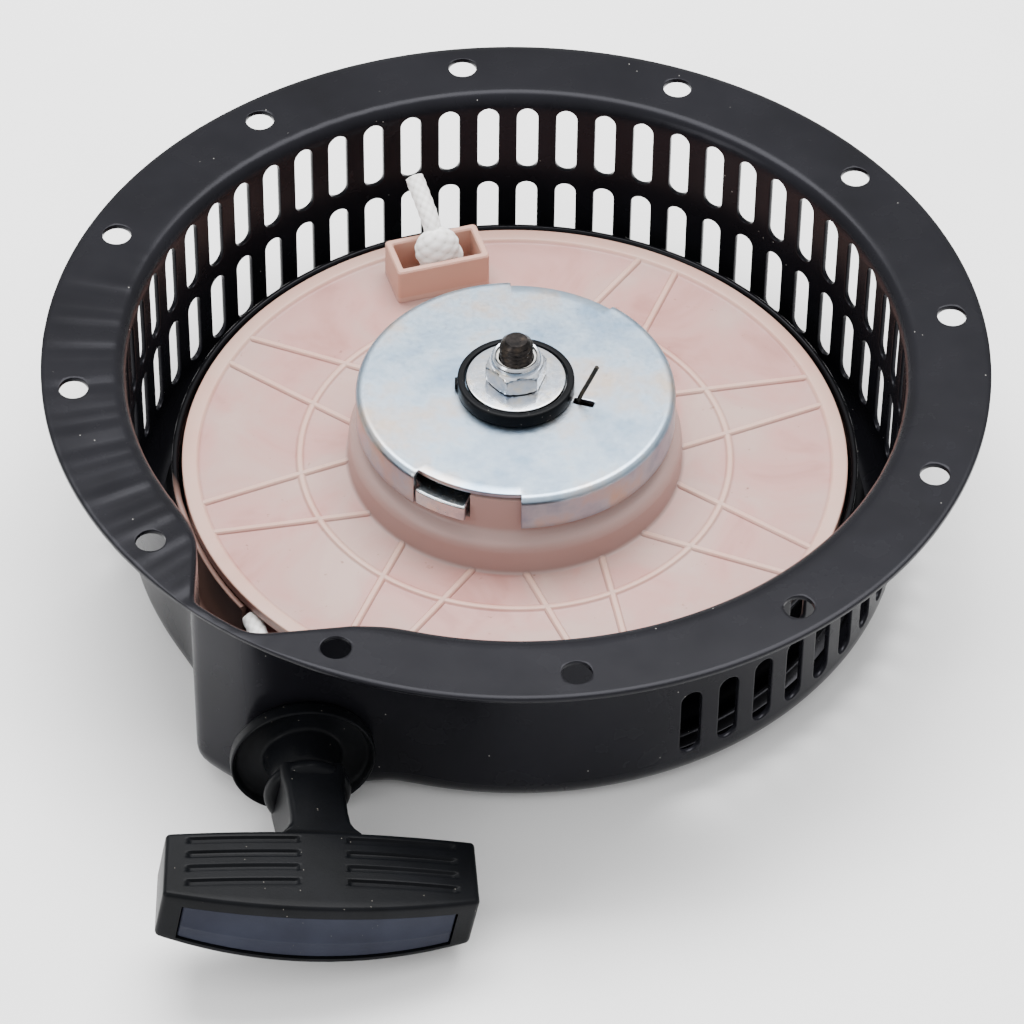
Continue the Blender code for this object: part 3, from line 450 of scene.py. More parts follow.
# %% Profiles and turning
def rounded(corners, closed=True, steps=4):
    """Corner points (x, y, reach) to a smooth path: within reach of a corner the path is the curve
    (1-t)^2 a + 2t(1-t) p + t^2 b between the points a and b that lie that far along both sides."""
    xy = np.array([corner[:2] for corner in corners], float)
    path = []
    t = np.linspace(0, 1, steps + 1)[:, None]
    for k, (x, y, reach) in enumerate(corners):
        here = xy[k]
        if reach == 0 or (not closed and k in (0, len(corners) - 1)):
            path.append(here[None, :])
            continue
        before, after = xy[k - 1] - here, xy[(k + 1) % len(corners)] - here
        a = here + before * min(0.49, reach / np.linalg.norm(before))
        b = here + after * min(0.49, reach / np.linalg.norm(after))
        path.append((1 - t) ** 2 * a + 2 * t * (1 - t) * here + t ** 2 * b)
    return np.concatenate(path)


ROPE_Z = 18.3
PULL_ANGLE = radians(8)
PULL_OFFSET = 60.6
PULL = np.array([sin(PULL_ANGLE), -cos(PULL_ANGLE), 0])
ACROSS = polar(1, PULL_ANGLE)
PULL_START = ACROSS * -PULL_OFFSET + UP * ROPE_Z
UPRIGHT = (np.eye(3), np.zeros(3))
ON_PULL_LINE = (np.stack([ACROSS, UP, PULL]), PULL_START)


def turned(profile, segments=160, axes=UPRIGHT, closed=True):
    """A profile of (radius, height) round an axis: (r cos a, r sin a, h) for a in a full turn."""
    angle = np.linspace(0, 2 * pi, segments, endpoint=False)
    r, h = profile[:, 0, None], profile[:, 1, None]
    rows, origin = axes
    faces = quads(len(profile), segments, around=True, along=closed)
    return polar(r, angle, h).reshape(-1, 3) @ rows + origin, faces


# %% [markdown]
# ## A sheet with holes
# A pressed sheet with slots is a grid of columns and rows. Where a hole goes, a window of cells is left
# out, and a patch of rings fills the space between the window's edge and the hole's outline. Each edge
# point goes straight to the nearest point of the outline, so the patch meets the grid without a seam.

# %% Sheets with holes
def sheet(u, v, windows, rings=3):
    """Grid over u and v with windows (i0, i1, j0, j1, outline): outline moves edge points onto the hole.
    Returns the (u, v) of every point and the faces."""
    rows, columns = len(v), len(u)
    grid = np.stack(np.meshgrid(u, v), axis=-1).reshape(-1, 2)
    open_cell = np.ones((rows - 1, columns - 1), bool)
    for i0, i1, j0, j1, _ in windows:
        open_cell[j0:j1, i0:i1] = False
    faces = np.array(quads(rows, columns))[open_cell.ravel()].tolist()
    places, base = [grid], rows * columns
    for i0, i1, j0, j1, outline in windows:
        edge = np.concatenate([
            j0 * columns + np.arange(i0, i1), np.arange(j0, j1) * columns + i1,
            j1 * columns + np.arange(i1, i0, -1), np.arange(j1, j0, -1) * columns + i0])
        outer = grid[edge]
        inner = outline(outer)
        shares = 1 - (1 - np.linspace(0, 1, rings + 1)[1:, None, None]) ** 1.6
        places.append((outer + (inner - outer) * shares).reshape(-1, 2))
        count = len(edge)
        numbers = np.concatenate([edge, base + np.arange(rings * count)]).reshape(rings + 1, count)
        after = np.roll(numbers, -1, axis=1)
        faces += np.stack([numbers[:-1], after[:-1], after[1:], numbers[1:]], axis=-1).reshape(-1, 4).tolist()
        base += rings * count
    return np.concatenate(places), faces


def toward_slot(x, y, half_width, half_length):
    """Nearest point of a round-ended slot centred at zero: c + a (p - c) / |p - c|, c on its mid line."""
    reach = half_length - half_width
    mid = np.clip(y, -reach, reach)
    away = np.hypot(x, y - mid)
    return half_width * x / away, mid + half_width * (y - mid) / away


# %% [markdown]
# ## The housing
# One sheet of 1.2 mm steel: closed face with a stiffening bead, a rounded corner, a slotted wall with a
# pocket for the rope, and a flange with twelve holes. The wall's plan is a circle joined to a pocket of two
# flats and an arc. Height up the wall, round both bends and out along the flange is one coordinate, v, so
# the whole sheet is a function of angle and v, and a Solidify modifier gives it its thickness inwards.

# %% Plan of the wall
_, case_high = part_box("housing")
DEPTH = case_high.z / MM
FLANGE_RADIUS = 112.5
WALL = 93.7
BEND = 2.5
CORNER = 8.0
FLANGE_UNDER = DEPTH - SHEET
BEND_START = FLANGE_UNDER - BEND
BEND_END = BEND_START + BEND * pi / 2
FLANGE_EDGE = BEND_END + FLANGE_RADIUS - WALL - BEND
FLOOR_START = CORNER - CORNER * pi / 2
BEAD = (48, 56)
BEAD_RISE = 1.2
POCKET_SIDE, POCKET_FRONT, POCKET_ARC = 73.2, 85.0, 111.0
POCKET_FROM, POCKET_TO, POCKET_MIDDLE = 180, 278, 229
SIDE_MELT, FRONT_MELT = 2.5, 0.8
POCKET_BEND = 0.4
RIM_LEFT = 0.35


def smooth_least(a, b, blend):
    """The lesser of two lengths, with the corner between them eased over about blend."""
    return -blend * np.logaddexp(-a / blend, -b / blend)


def wall_radius(theta, inset):
    """Radius of the wall moved in by inset: the greater of circle and pocket, rounded where they meet."""
    side = (POCKET_SIDE - inset) / np.maximum(-np.cos(theta), 0.05)
    front = (POCKET_FRONT - inset) / np.maximum(PULL[0] * np.cos(theta) + PULL[1] * np.sin(theta), 0.05)
    pocket = smooth_least(smooth_least(side, POCKET_ARC - inset + 0 * theta, 0.9), front, 1.2)
    main = WALL - inset + 0 * theta
    angle = np.degrees(theta) % 360
    melt = np.where(angle < POCKET_MIDDLE, SIDE_MELT, FRONT_MELT)
    near_pocket = (angle > POCKET_FROM) & (angle < POCKET_TO)
    return np.where(near_pocket, -smooth_least(-main, -pocket, melt), main)


def step(x):
    """A smooth rise from 0 to 1."""
    x = np.clip(x, 0, 1)
    return x * x * (3 - 2 * x)


def waviness(theta):
    """Height of the press marks on the flange: sines that fade in where the metal was drawn furthest."""
    angle = np.degrees(theta) % 360
    crumple = step((angle - 150) / 30) * step((246 - angle) / 20)
    beside = step((angle - 95) / 20) * step((150 - angle) / 20)
    marks = np.sin(theta * 61) + 0.8 * np.sin(theta * 97 + 1.3) + 0.6 * np.sin(theta * 151 + 0.4)
    return 0.07 * crumple * marks + 0.035 * beside * np.sin(theta * 94) + 0.10 * np.sin(theta * 5 + 0.5)


def wall_and_bend(theta):
    """Radius of the wall, and of its bend into the flange, which is tighter at the pocket."""
    wall = wall_radius(theta, 0)
    return wall, BEND + (POCKET_BEND - BEND) * np.clip((wall - WALL) / 4, 0, 1)


def housing_skin(theta, v):
    """Outer face of the sheet at an angle and a distance v up the wall, in millimetres."""
    wall, bend = wall_and_bend(theta)
    corner_turn = np.clip((CORNER - v) / CORNER, 0, pi / 2)
    wall_share = np.clip((v - CORNER) / (BEND_START - CORNER), 0, 1)
    bend_turn = np.clip((v - BEND_START) / (BEND_END - BEND_START), 0, 1) * pi / 2
    flange_share = np.clip((v - BEND_END) / (FLANGE_EDGE - BEND_END), 0, 1)
    floor_edge = wall_radius(theta, CORNER)
    floor_span = WALL - CORNER - BEAD[1]
    floor_v = v - FLOOR_START
    to_edge = (floor_edge - BEAD[1]) * (1 + floor_v / floor_span)
    floor_radius = BEAD[1] + np.where(floor_v > -floor_span, to_edge, floor_v + floor_span)
    corner_radius = wall_radius(theta, CORNER * (1 - np.cos(corner_turn)))
    neck = np.minimum(wall + bend * (1 - np.cos(bend_turn)), FLANGE_RADIUS - RIM_LEFT)
    radius = np.where(v < FLOOR_START, floor_radius, np.where(v < CORNER, corner_radius, neck))
    radius = radius + (FLANGE_RADIUS - radius) * flange_share
    bead = BEAD_RISE * step((BEAD[1] - floor_radius) / 2.5) * step((floor_radius - BEAD[0]) / 2.5)
    low = np.where(v < FLOOR_START, bead, CORNER * (1 - np.sin(corner_turn)))
    rise = (FLANGE_UNDER - bend - CORNER) * wall_share + bend * np.sin(bend_turn)
    out = np.clip((v - BEND_START) / (BEND_END - BEND_START), 0, 1) * (1 - 0.75 * flange_share ** 3)
    height = low + rise + out * waviness(theta)
    return polar(radius, theta, height)


# %% Columns, rows and holes of the housing
SLOT_START, SLOT_PITCH, SLOT_COUNT = radians(-63.8), radians(6.1), 42
SLOT_HALF = 2.7
SLOT_ROWS = ((9.5, 29.5), (33.7, 53.5))
BOLT_CIRCLE, BOLT_HALF, BOLT_START = 105.0, 3.5, radians(7.9)
PER_SLOT = 8

slotted = SLOT_START + SLOT_PITCH * (np.arange(SLOT_COUNT * PER_SLOT + 1) / PER_SLOT - 0.5)
plain = np.linspace(slotted[-1], slotted[0] + 2 * pi, 171)[1:]
columns = np.concatenate([slotted, plain])
rows = np.concatenate([
    FLOOR_START + np.linspace(-85.65, -30, 10), FLOOR_START + np.linspace(-29.5, -20, 6),
    FLOOR_START + np.linspace(-17, 0, 4), np.linspace(FLOOR_START, CORNER, 9)[1:],
    np.linspace(8.35, 30.7, 17), np.linspace(32.5, 54.7, 17),
    np.linspace(BEND_START, BEND_END, 9)[4:], np.linspace(BEND_END, FLANGE_EDGE, 13)[1:]])


def slot_window(k, low, high):
    """Cells round one slot, and the move onto its outline."""
    centre, middle = SLOT_START + SLOT_PITCH * k, (low + high) / 2

    def outline(edge):
        x, y = toward_slot((edge[:, 0] - centre) * WALL, edge[:, 1] - middle, SLOT_HALF, (high - low) / 2)
        return np.stack([centre + x / WALL, middle + y], axis=-1)

    first = int(np.argmin(abs(rows - (low - 1.17))))
    return k * PER_SLOT, (k + 1) * PER_SLOT, first, first + 16, outline


def flange_v(theta, radius):
    """The v at which the flange reaches a radius."""
    wall, bend = wall_and_bend(theta)
    inner = np.minimum(wall + bend, FLANGE_RADIUS - RIM_LEFT)
    return BEND_END + (FLANGE_EDGE - BEND_END) * (radius - inner) / (FLANGE_RADIUS - inner)


def bolt_window(k):
    """Cells round one bolt hole, and the move onto its outline, worked out in plan."""
    centre = (BOLT_START + k * pi / 6 - columns[0]) % (2 * pi) + columns[0]
    middle = int(np.argmin(abs(columns - centre)))
    near, far = flange_v(np.array([centre, centre]), np.array([BOLT_CIRCLE - 4.6, BOLT_CIRCLE + 4.6]))
    j0, j1 = int(np.argmin(abs(rows - near))), int(np.argmin(abs(rows - far)))

    def outline(edge):
        point = housing_skin(edge[:, 0], edge[:, 1])
        x = point[:, 0] * cos(centre) + point[:, 1] * sin(centre) - BOLT_CIRCLE
        y = point[:, 1] * cos(centre) - point[:, 0] * sin(centre)
        away = np.hypot(x, y)
        x, y = BOLT_CIRCLE + BOLT_HALF * x / away, BOLT_HALF * y / away
        theta = centre + np.arctan2(y, x)
        return np.stack([theta, flange_v(theta, np.hypot(x, y))], axis=-1)

    return middle - 5, middle + 5, j0, j1, outline


windows = [slot_window(k, low, high) for k in range(SLOT_COUNT) for low, high in SLOT_ROWS]
windows += [bolt_window(k) for k in range(12)]
places, faces = sheet(columns, rows, windows)
points = housing_skin(places[:, 0], places[:, 1])
points = np.concatenate([points, [[0, 0, 0]]])
faces += [[len(points) - 1, i + 1, i] for i in range(len(columns) - 1)]
housing = piece("housing_shell", (points, faces), "case", housing_enamel, ["housing"],
                outward=False)
thickened(housing)
eased(housing, 0.16, 1)

# %% [markdown]
# ## The rope guard
# A strip of thin sheet stands round the reel so that a slack rope can't climb off it. It is one profile
# carried round a circle, open where the rope leaves, with its top edge rolled out a little. Just before the
# opening the strip sinks and tucks in under the lip of the reel.

# %% Rope guard
guard_profile = rounded([
    (81.3, 1.5, 0.2), (86.5, 1.5, 0.2), (86.5, 2.7, 0.2), (83.2, 2.7, 0.6), (82.5, 3.4, 0.6),
    (82.5, 22.4, 0.5), (82.95, 23.2, 0.3), (82.7, 23.6, 0.2), (81.9, 23.6, 0.2), (81.3, 23.0, 0.3)], steps=2)
turn_angle = np.linspace(radians(262), radians(578.2), 240)[None, :]
TUCK_START, TUCK_SPAN, TUCK_IN, TUCK_DOWN, FOOT_HEIGHT = 552, 10, 1.35, 2.9, 5
tuck = np.clip((np.degrees(turn_angle) - TUCK_START) / TUCK_SPAN, 0, 1)
r, z = guard_profile[:, 0, None] - TUCK_IN * tuck, guard_profile[:, 1, None]
z = z - TUCK_DOWN * tuck * (z > FOOT_HEIGHT)
points = polar(r, turn_angle, z)
starts = [k * 240 for k in range(len(guard_profile))]
faces = quads(len(guard_profile), 240, along=True) + [starts, [k + 239 for k in starts]]
piece("guard_strip", (points, faces), "case", guard_enamel, ["rope_guard"])

# %% [markdown]
# ## The reel
# Seen from above the reel is a thin disc with a raised lip, a ring rib and pairs of slanting ribs, round a
# hub that carries the pawls. The profile changes with the angle only at the two pawl rooms, so every column
# of the lathe grid uses one of two profiles with equal numbers of points, and two columns stand at the same
# angle where a room's side wall is.

# %% Reel body
PAWL_ANGLES = (-165, 15)
ROOM = (-11, 58.4)

under = rounded([(10.2, 17.5, 0), (10.2, 34, 0.3), (19, 34, 0.3), (19, 43.2, 0.3)], closed=False, steps=2)
over = rounded([
    (36.3, 36.1, 0), (36.3, 33.4, 0.8), (37.8, 32.4, 0.8), (39.4, 31.4, 0.8), (40.2, 29.8, 0.8),
    (40.2, 23, 1.0), (51.0, 23, 0.5), (51.5, 23.6, 0.3), (52.5, 23.6, 0.3), (53.0, 23, 0.5), (76.2, 23, 0.5),
    (76.9, 23.85, 0.4), (80.4, 23.9, 0.4), (80.4, 21.1, 0.3), (58, 21.1, 0.3), (58, 15.4, 0.3),
    (79.6, 15.4, 0.3), (79.6, 13.2, 0.3), (58, 13.2, 0.3), (58, 2.6, 0.3), (55.5, 2.6, 0.3), (55.5, 17.5, 0)],
    closed=False, steps=3)
solid_rim = np.array([(20, 43.2), (36.3, 43.2)])
room_rim = np.array([(20, 43.2), (20, 36.1)])
full = np.concatenate([under, solid_rim, over])
roomy = np.concatenate([under, room_rim, over])
edges = sorted((angle + offset) % 360 for angle in PAWL_ANGLES for offset in ROOM)
angles = np.sort(np.concatenate([np.arange(0, 360, 1.5), edges, edges]))
is_room = np.zeros(len(angles), bool)
for angle in PAWL_ANGLES:
    inside = (angles - angle - ROOM[0]) % 360
    is_room |= (inside > 1e-6) & (inside < ROOM[1] - ROOM[0] - 1e-6)
for edge in edges:
    pair = np.flatnonzero(abs(angles - edge) < 1e-9)
    starts_room = any(abs((angle + ROOM[0]) % 360 - edge) < 1e-6 for angle in PAWL_ANGLES)
    is_room[pair] = (False, True) if starts_room else (True, False)
profile = np.where(is_room[None, :, None], roomy[:, None, :], full[:, None, :])
theta = np.radians(angles)[None, :]
body = polar(profile[..., 0], theta, profile[..., 1])
reel_shell = (body, quads(len(full), len(angles), around=True, along=True))


# %% Ribs and knot box
def rib(angle, lean):
    """A low rounded bar on the disc, from the hub out to the lip."""
    outwards, sideways = polar(1, radians(angle)), polar(1, radians(angle + 90))
    half = np.array([(0.45, 23.62), (0.72, 23.4), (1.0, 23.05), (1.1, 22.4)])
    section = np.concatenate([half[::-1] * (-1, 1), half])
    ends = np.array([(39.2, 9.4), (57, 7.45), (77.2, 5.05)])
    across = lean * ends[:, 1, None] + section[None, :, 0]
    points = outwards * ends[:, 0, None, None] + sideways * across[..., None] + UP * section[None, :, 1, None]
    return points, capped(len(ends), len(section))


def round_box(half_u, half_v, corner, steps=5):
    """Outline of a rectangle with round corners, as (u, v) points."""
    turns = np.radians(np.linspace(0, 90, steps)[None, :] + np.array([0, 90, 180, 270])[:, None]).ravel()
    signs = np.repeat([(1, 1), (-1, 1), (-1, -1), (1, -1)], steps, axis=0)
    centres = signs * (half_u - corner, half_v - corner)
    return centres + polar(corner, turns)[:, :2]


KNOT_ANGLE = radians(107.7)
KNOT_RADIUS = 65.9
knot_out, knot_side = polar(1, KNOT_ANGLE), polar(1, KNOT_ANGLE + pi / 2)
box_rows = [(6.45, 11.95, 1.0, 22.2), (6.35, 11.85, 0.9, 32.6), (6.05, 11.55, 0.8, 33.0),
            (4.95, 10.45, 0.6, 33.0), (4.65, 10.15, 0.5, 32.6), (4.6, 10.1, 0.5, 22.2)]
outlines = np.stack([round_box(u, v, corner) for u, v, corner, _ in box_rows])
heights = np.array([z for *_, z in box_rows])[:, None, None]
walls = knot_out * (KNOT_RADIUS + outlines[..., :1]) + knot_side * outlines[..., 1:] + UP * heights
knot_walls = (walls, quads(len(box_rows), outlines.shape[1], around=True, along=True))
ribs = [rib(17.7 + 45 * k, lean) for k in range(8) if k != 2 for lean in (-1, 1)]
piece("reel_moulding", joined(reel_shell, knot_walls, *ribs), "reel_body", reel_nylon, ["reel"],
      35)

# %% [markdown]
# ## The pawls
# Each pawl turns on a pin in the hub. Its plan is a round boss, a slim arm and a broad nose that looks out
# of a notch in the plate. The hole for the pin is cut with a Boolean, and a Bevel modifier takes the edge
# off.

# %% Pawls
def cut_out(obj, cutter):
    """Takes the cutter's volume out of an object for good, and removes the cutter."""
    boolean = obj.modifiers.new("cut", "BOOLEAN")
    boolean.operation, boolean.solver, boolean.object = "DIFFERENCE", "EXACT", cutter
    boolean.use_self = True
    graph = bpy.context.evaluated_depsgraph_get()
    result = bpy.data.meshes.new_from_object(obj.evaluated_get(graph))
    obj.modifiers.clear()
    obj.data = result
    result.shade_smooth()
    result.set_sharp_from_angle(angle=radians(40))
    bpy.data.objects.remove(cutter, do_unlink=True)


def from_shaft(radius, degrees_from_pivot, pivot_angle):
    """The (x, y) at a radius and at degrees on from the pivot."""
    return polar(radius, np.radians(pivot_angle + np.asarray(degrees_from_pivot, float)))[..., :2]


for letter, angle in zip("ab", PAWL_ANGLES):
    pivot = from_shaft(28, 0, angle)
    face = from_shaft(38.6, np.linspace(57.4, 37.6, 12), angle)
    arm, back = [[from_shaft(radius, turn, angle) for radius, turn in side] for side in (
        ((36.4, 37.2), (34.4, 30), (33, 12)), ((23.6, 12), (25.6, 26), (28.6, 42), (30.6, 57.4)))]
    boss = pivot + from_shaft(5.2, np.linspace(-10, -190, 24), angle)
    block = prism(np.concatenate([face, arm, boss, back]), (36.5, 41.0))
    pawl = piece(f"pawl_{letter}_casting", block, f"pawl_{letter}_body", sintered_steel,
                 [f"pawl_{letter}"])
    bore, bore_faces = turned(np.array([[2.8, 35], [2.8, 43], [0, 43], [0, 35]]), 40)
    cut_out(pawl, piece("pin_hole", (bore + [*pivot, 0], bore_faces), None, sintered_steel))
    eased(pawl, 0.45, 3)

# %% [markdown]
# ## The friction plate
# A shallow cup pressed from zinc-plated sheet, turned upside down over the hub. Two notches in its skirt
# let the pawls out, and a narrow slot takes the end of the return spring. The sheet is again a function of
# angle and distance from the centre, with the cells of the notches left out.

# %% Friction plate
PLATE_TOP, PLATE_RADIUS, SKIRT = 45.2, 38.3, 36.0
PLATE_BEND = 1.8
NOTCHES, NOTCH_HALF, NOTCH_RADIUS = (72, 252), 20.5, 36.2


def plate_skin(theta, v):
    """Upper face: flat out to the bend, a quarter turn, then straight down."""
    flat = PLATE_RADIUS - PLATE_BEND
    turn = np.clip((v - flat) / PLATE_BEND, 0, pi / 2)
    drop = np.maximum(v - flat - PLATE_BEND * pi / 2, 0)
    radius = np.minimum(v, flat) + PLATE_BEND * np.sin(turn)
    dish = 0.12 * np.cos(2 * theta + 0.6) * step((v - 14) / 20)
    height = PLATE_TOP - PLATE_BEND * (1 - np.cos(turn)) - drop + dish * 0.5
    return polar(radius, theta, height)


def slot_in_plate(edge):
    """Moves edge points onto the wire slot, a small rectangle square to its own radius."""
    angle = radians(-16.3)
    x = edge[:, 1] * np.cos(edge[:, 0] - angle) - 16.9
    y = edge[:, 1] * np.sin(edge[:, 0] - angle)
    scale = np.minimum(2.5 / np.maximum(abs(x), 1e-6), 1.0 / np.maximum(abs(y), 1e-6))
    x, y = 16.9 + x * scale, y * scale
    return np.stack([angle + np.arctan2(y, x), np.hypot(x, y)], axis=-1)


notch_edges = [centre + sign * NOTCH_HALF for centre in NOTCHES for sign in (-1, 1)]
plate_angles = np.unique(np.round(np.concatenate([np.arange(-32, 328.1, 2), notch_edges]), 3))
flat_end = PLATE_RADIUS - PLATE_BEND
skirt_v = flat_end + PLATE_BEND * pi / 2 + PLATE_TOP - PLATE_BEND - SKIRT
plate_rows = np.concatenate([[4.5, 8, 12.5, 14.0, 16.0, 18.0, 20.0, 22.0], np.linspace(25, NOTCH_RADIUS, 5),
                             [flat_end], np.linspace(flat_end, flat_end + PLATE_BEND * pi / 2, 6)[1:],
                             np.linspace(flat_end + PLATE_BEND * pi / 2, skirt_v, 5)[1:]])
first = int(np.argmin(abs(plate_angles + 16.3))) - 5
slot_hole = (first, first + 10, 2, 7, slot_in_plate)
places, faces = sheet(np.radians(plate_angles), plate_rows, [slot_hole])
centres = np.array([places[face].mean(axis=0) for face in faces])
from_notch = np.min([abs((np.degrees(centres[:, 0]) - c + 180) % 360 - 180) for c in NOTCHES], axis=0)
kept = ~((from_notch < NOTCH_HALF) & (centres[:, 1] > NOTCH_RADIUS))
faces = [face for face, keep in zip(faces, kept) if keep]
points = plate_skin(places[:, 0], places[:, 1])
used = np.unique(np.concatenate(faces))
renumber = np.zeros(len(points), int)
renumber[used] = np.arange(len(used))
faces = renumber[np.array(faces)][:, ::-1].tolist()
plate = piece("plate_pressing", (points[used], faces), "plate_body", plate_zinc, ["friction_plate"],
              outward=False)
thickened(plate)
eased(plate, 0.18, 2)

# %% [markdown]
# ## Under the nut
# The friction ring, the top washer and the nut clamp the plate lightly to the shaft. The nut's outline is a
# hexagon cut back by the cone of its chamfers, so its radius at each height is the lesser of the two.

# %% Ring, washer, nut and shaft
ring = turned(rounded([(12.3, 45.5, 0.2), (14, 45.5, 0.2), (14, 48.8, 0.6), (12.3, 48.8, 0.4)]), 128)
tab = prism(round_box(0.7, 1.3, 0.3) - (13.9, 0), (45.6, 47.2))
piece("friction_ring_moulding", joined(ring, tab), "case", handle_plastic, ["friction_ring"])
washer = turned(rounded([(4.4, 47.6, 0.1), (11.9, 47.6, 0.2), (11.9, 48.8, 0.35), (4.4, 48.8, 0.2)]), 96)
piece("washer", washer, "case", bright_zinc, ["top_washer"])

NUT_FLATS, NUT_TURN = 13.0, radians(12)
NUT_LOW, NUT_HIGH, COLLAR_TOP = 49.1, 54.3, 56.3
theta = np.linspace(0, 2 * pi, 144, endpoint=False)
sector = (theta - NUT_TURN) % (pi / 3) - pi / 6
hexagon = NUT_FLATS / 2 / np.cos(sector)
hex_rows = [(NUT_LOW, 6.6), (NUT_LOW + 0.25, 7.1), (NUT_LOW + 0.6, 7.6), (NUT_HIGH - 1.1, 7.6),
            (NUT_HIGH - 0.75, 7.35), (NUT_HIGH - 0.4, 6.95), (NUT_HIGH, 6.35)]
round_rows = [(NUT_HIGH, 6.0), (55.1, 5.98), (55.7, 5.8), (COLLAR_TOP - 0.1, 5.4), (COLLAR_TOP - 0.25, 5.0),
              (55.8, 4.8), (55.6, 5.1), (53.8, 5.1), (53.7, 4.3)]
height, radius = np.array([(NUT_LOW, 4.3), *hex_rows, *round_rows]).T[..., None] + 0 * theta
on_hexagon = slice(1, 1 + len(hex_rows))
radius[on_hexagon] = np.minimum(radius[on_hexagon], hexagon)
nut = (polar(radius, theta, height), quads(len(radius), 144, around=True, along=True))
piece("nut", nut, "case", bright_zinc, ["lock_nut"], 30)

THREAD_PITCH, THREAD_DEPTH = 1.25, 0.6
post = [(0, 1.5), (18, 1.5), (18, 3), (13.2, 3), (13.2, 17.1), (9.8, 17.1), (9.8, 43.4), (4, 43.4), (4, 50)]
thread_z = np.linspace(50, 60.4, 84)
z = np.concatenate([[h for _, h in post], thread_z, [60.9, 60.9]])
base = np.concatenate([[r for r, _ in post], np.full(84, 4.0), [2.6, 0]])
theta = np.linspace(0, 2 * pi, 48, endpoint=False)
flank = abs((z[:, None] / THREAD_PITCH - theta / (2 * pi)) % 1 * 2 - 1)
in_thread = ((z > 50.2) & (z < 60.5))[:, None]
radius = base[:, None] - in_thread * THREAD_DEPTH * np.clip(flank * 1.25 - 0.12, 0, 1)
radius = np.minimum(radius, np.where(z > 59.4, 2.6 + (60.9 - z) * 0.95, 99)[:, None])
shaft = (polar(radius, theta, z[:, None]), quads(len(z), 48, around=True))
piece("shaft", shaft, "case", stud_black, ["centre_post"])

# %% [markdown]
# ## Wire and rope
# Both are a round section carried along a path. The section needs two directions square to the path that
# don't spin, so each is worked out from a fixed helper direction. The rope's braid is two sets of strands
# that spiral opposite ways and pass over and under: the surface rises where the strand on top crosses.

# %% Sweeping along a path
def smooth_path(stops, steps):
    """Catmull-Rom curve through the stops, with this many points between neighbours."""
    stops = np.asarray(stops, float)
    ends = np.vstack([2 * stops[0] - stops[1], stops, 2 * stops[-1] - stops[-2]])
    a, b, c, d = (ends[k:len(ends) - 3 + k, None, :] for k in range(4))
    t = np.linspace(0, 1, steps, endpoint=False)[None, :, None]
    bend, twist = 2 * a - 5 * b + 4 * c - d, 3 * b - a - 3 * c + d
    curve = 0.5 * (2 * b + (c - a) * t + bend * t ** 2 + twist * t ** 3)
    return np.vstack([curve.reshape(-1, 3), stops[-1]])


def swept(path, radius, sides=24, helper=(0.31, 0.17, 0.93)):
    """Points p + R(n cos a + m sin a) along a path, with n and m square to it; radius may vary by point."""
    ahead = np.gradient(path, axis=0)
    ahead /= np.linalg.norm(ahead, axis=1, keepdims=True)
    n = np.empty_like(path)
    n[0] = np.cross(ahead[0], helper)
    for k in range(1, len(path)):
        n[k] = n[k - 1] - ahead[k] * (n[k - 1] @ ahead[k])
    n /= np.linalg.norm(n, axis=1, keepdims=True)
    m = np.cross(ahead, n)
    a = np.linspace(0, 2 * pi, sides, endpoint=False)[None, :, None]
    wide = np.broadcast_to(radius, (len(path), sides))[..., None]
    points = path[:, None, :] + wide * (n[:, None, :] * np.cos(a) + m[:, None, :] * np.sin(a))
    return points, capped(len(path), sides)


def braid_height(path, sides, pitch=5.2, strands=6):
    """Height from 0 to 1 of a braid on a tube: two sets of spiral strands, each on top in turn."""
    length = np.concatenate([[0], np.cumsum(np.linalg.norm(np.diff(path, axis=0), axis=1))])[:, None]
    a = np.linspace(0, 2 * pi, sides, endpoint=False)[None, :]
    left = strands * a / 2 + 2 * pi * length / pitch
    right = strands * a / 2 - 2 * pi * length / pitch
    over = np.sin(left + right) * np.sin(left - right)
    first = abs(np.cos(left)) ** 0.7 * (0.75 + 0.25 * np.sign(over) * abs(over) ** 0.5)
    second = abs(np.cos(right)) ** 0.7 * (0.75 - 0.25 * np.sign(over) * abs(over) ** 0.5)
    return np.maximum(first, second)


ROPE_RADIUS = 2.4


def rope(path, sides=40, radius=ROPE_RADIUS, height=None):
    """A braided rope along a path, with the height of its strands kept for the material."""
    height = braid_height(path, sides) if height is None else height
    points, faces = swept(path, radius * (0.87 + 0.13 * height), sides)
    return points.reshape(-1, 3), faces, height.ravel()


def rope_piece(name, ropes, body, nodes):
    """One object from several ropes."""
    points, faces = joined(*[(points, faces) for points, faces, _ in ropes])
    mesh = bpy.data.meshes.new(name)
    mesh.from_pydata((points * MM).tolist(), [], faces)
    attribute = mesh.attributes.new("strand_height", "FLOAT", "POINT")
    attribute.data.foreach_set("value", np.concatenate([h for *_, h in ropes]).astype(np.float32))
    shape = bmesh.new()
    shape.from_mesh(mesh)
    bmesh.ops.recalc_face_normals(shape, faces=shape.faces)
    shape.to_mesh(mesh)
    shape.free()
    mesh.shade_smooth()
    return placed(name, mesh, braid, body, nodes)


# %% Return spring
wire_angle = radians(-16.3)
reach = polar(1, wire_angle)
turns = np.linspace(0, 6 * pi, 130)[:-1]
coil = polar(15.4, wire_angle + turns, 34.9 + 6.6 * turns / (6 * pi))
leg_stops = [coil[-1], reach * 15.6 + UP * 43, reach * 15.7 + UP * 45.4, reach * 16.2 + UP * 47.5,
             np.array([17.4, -4.1, 51.6]), np.array([19.2, -3.7, 55.8])]
wire_path = np.vstack([coil[:-1], smooth_path(leg_stops, 6)])
piece("return_spring_wire", swept(wire_path, 0.55, 16), "plate_body", spring_steel, ["return_spring"])

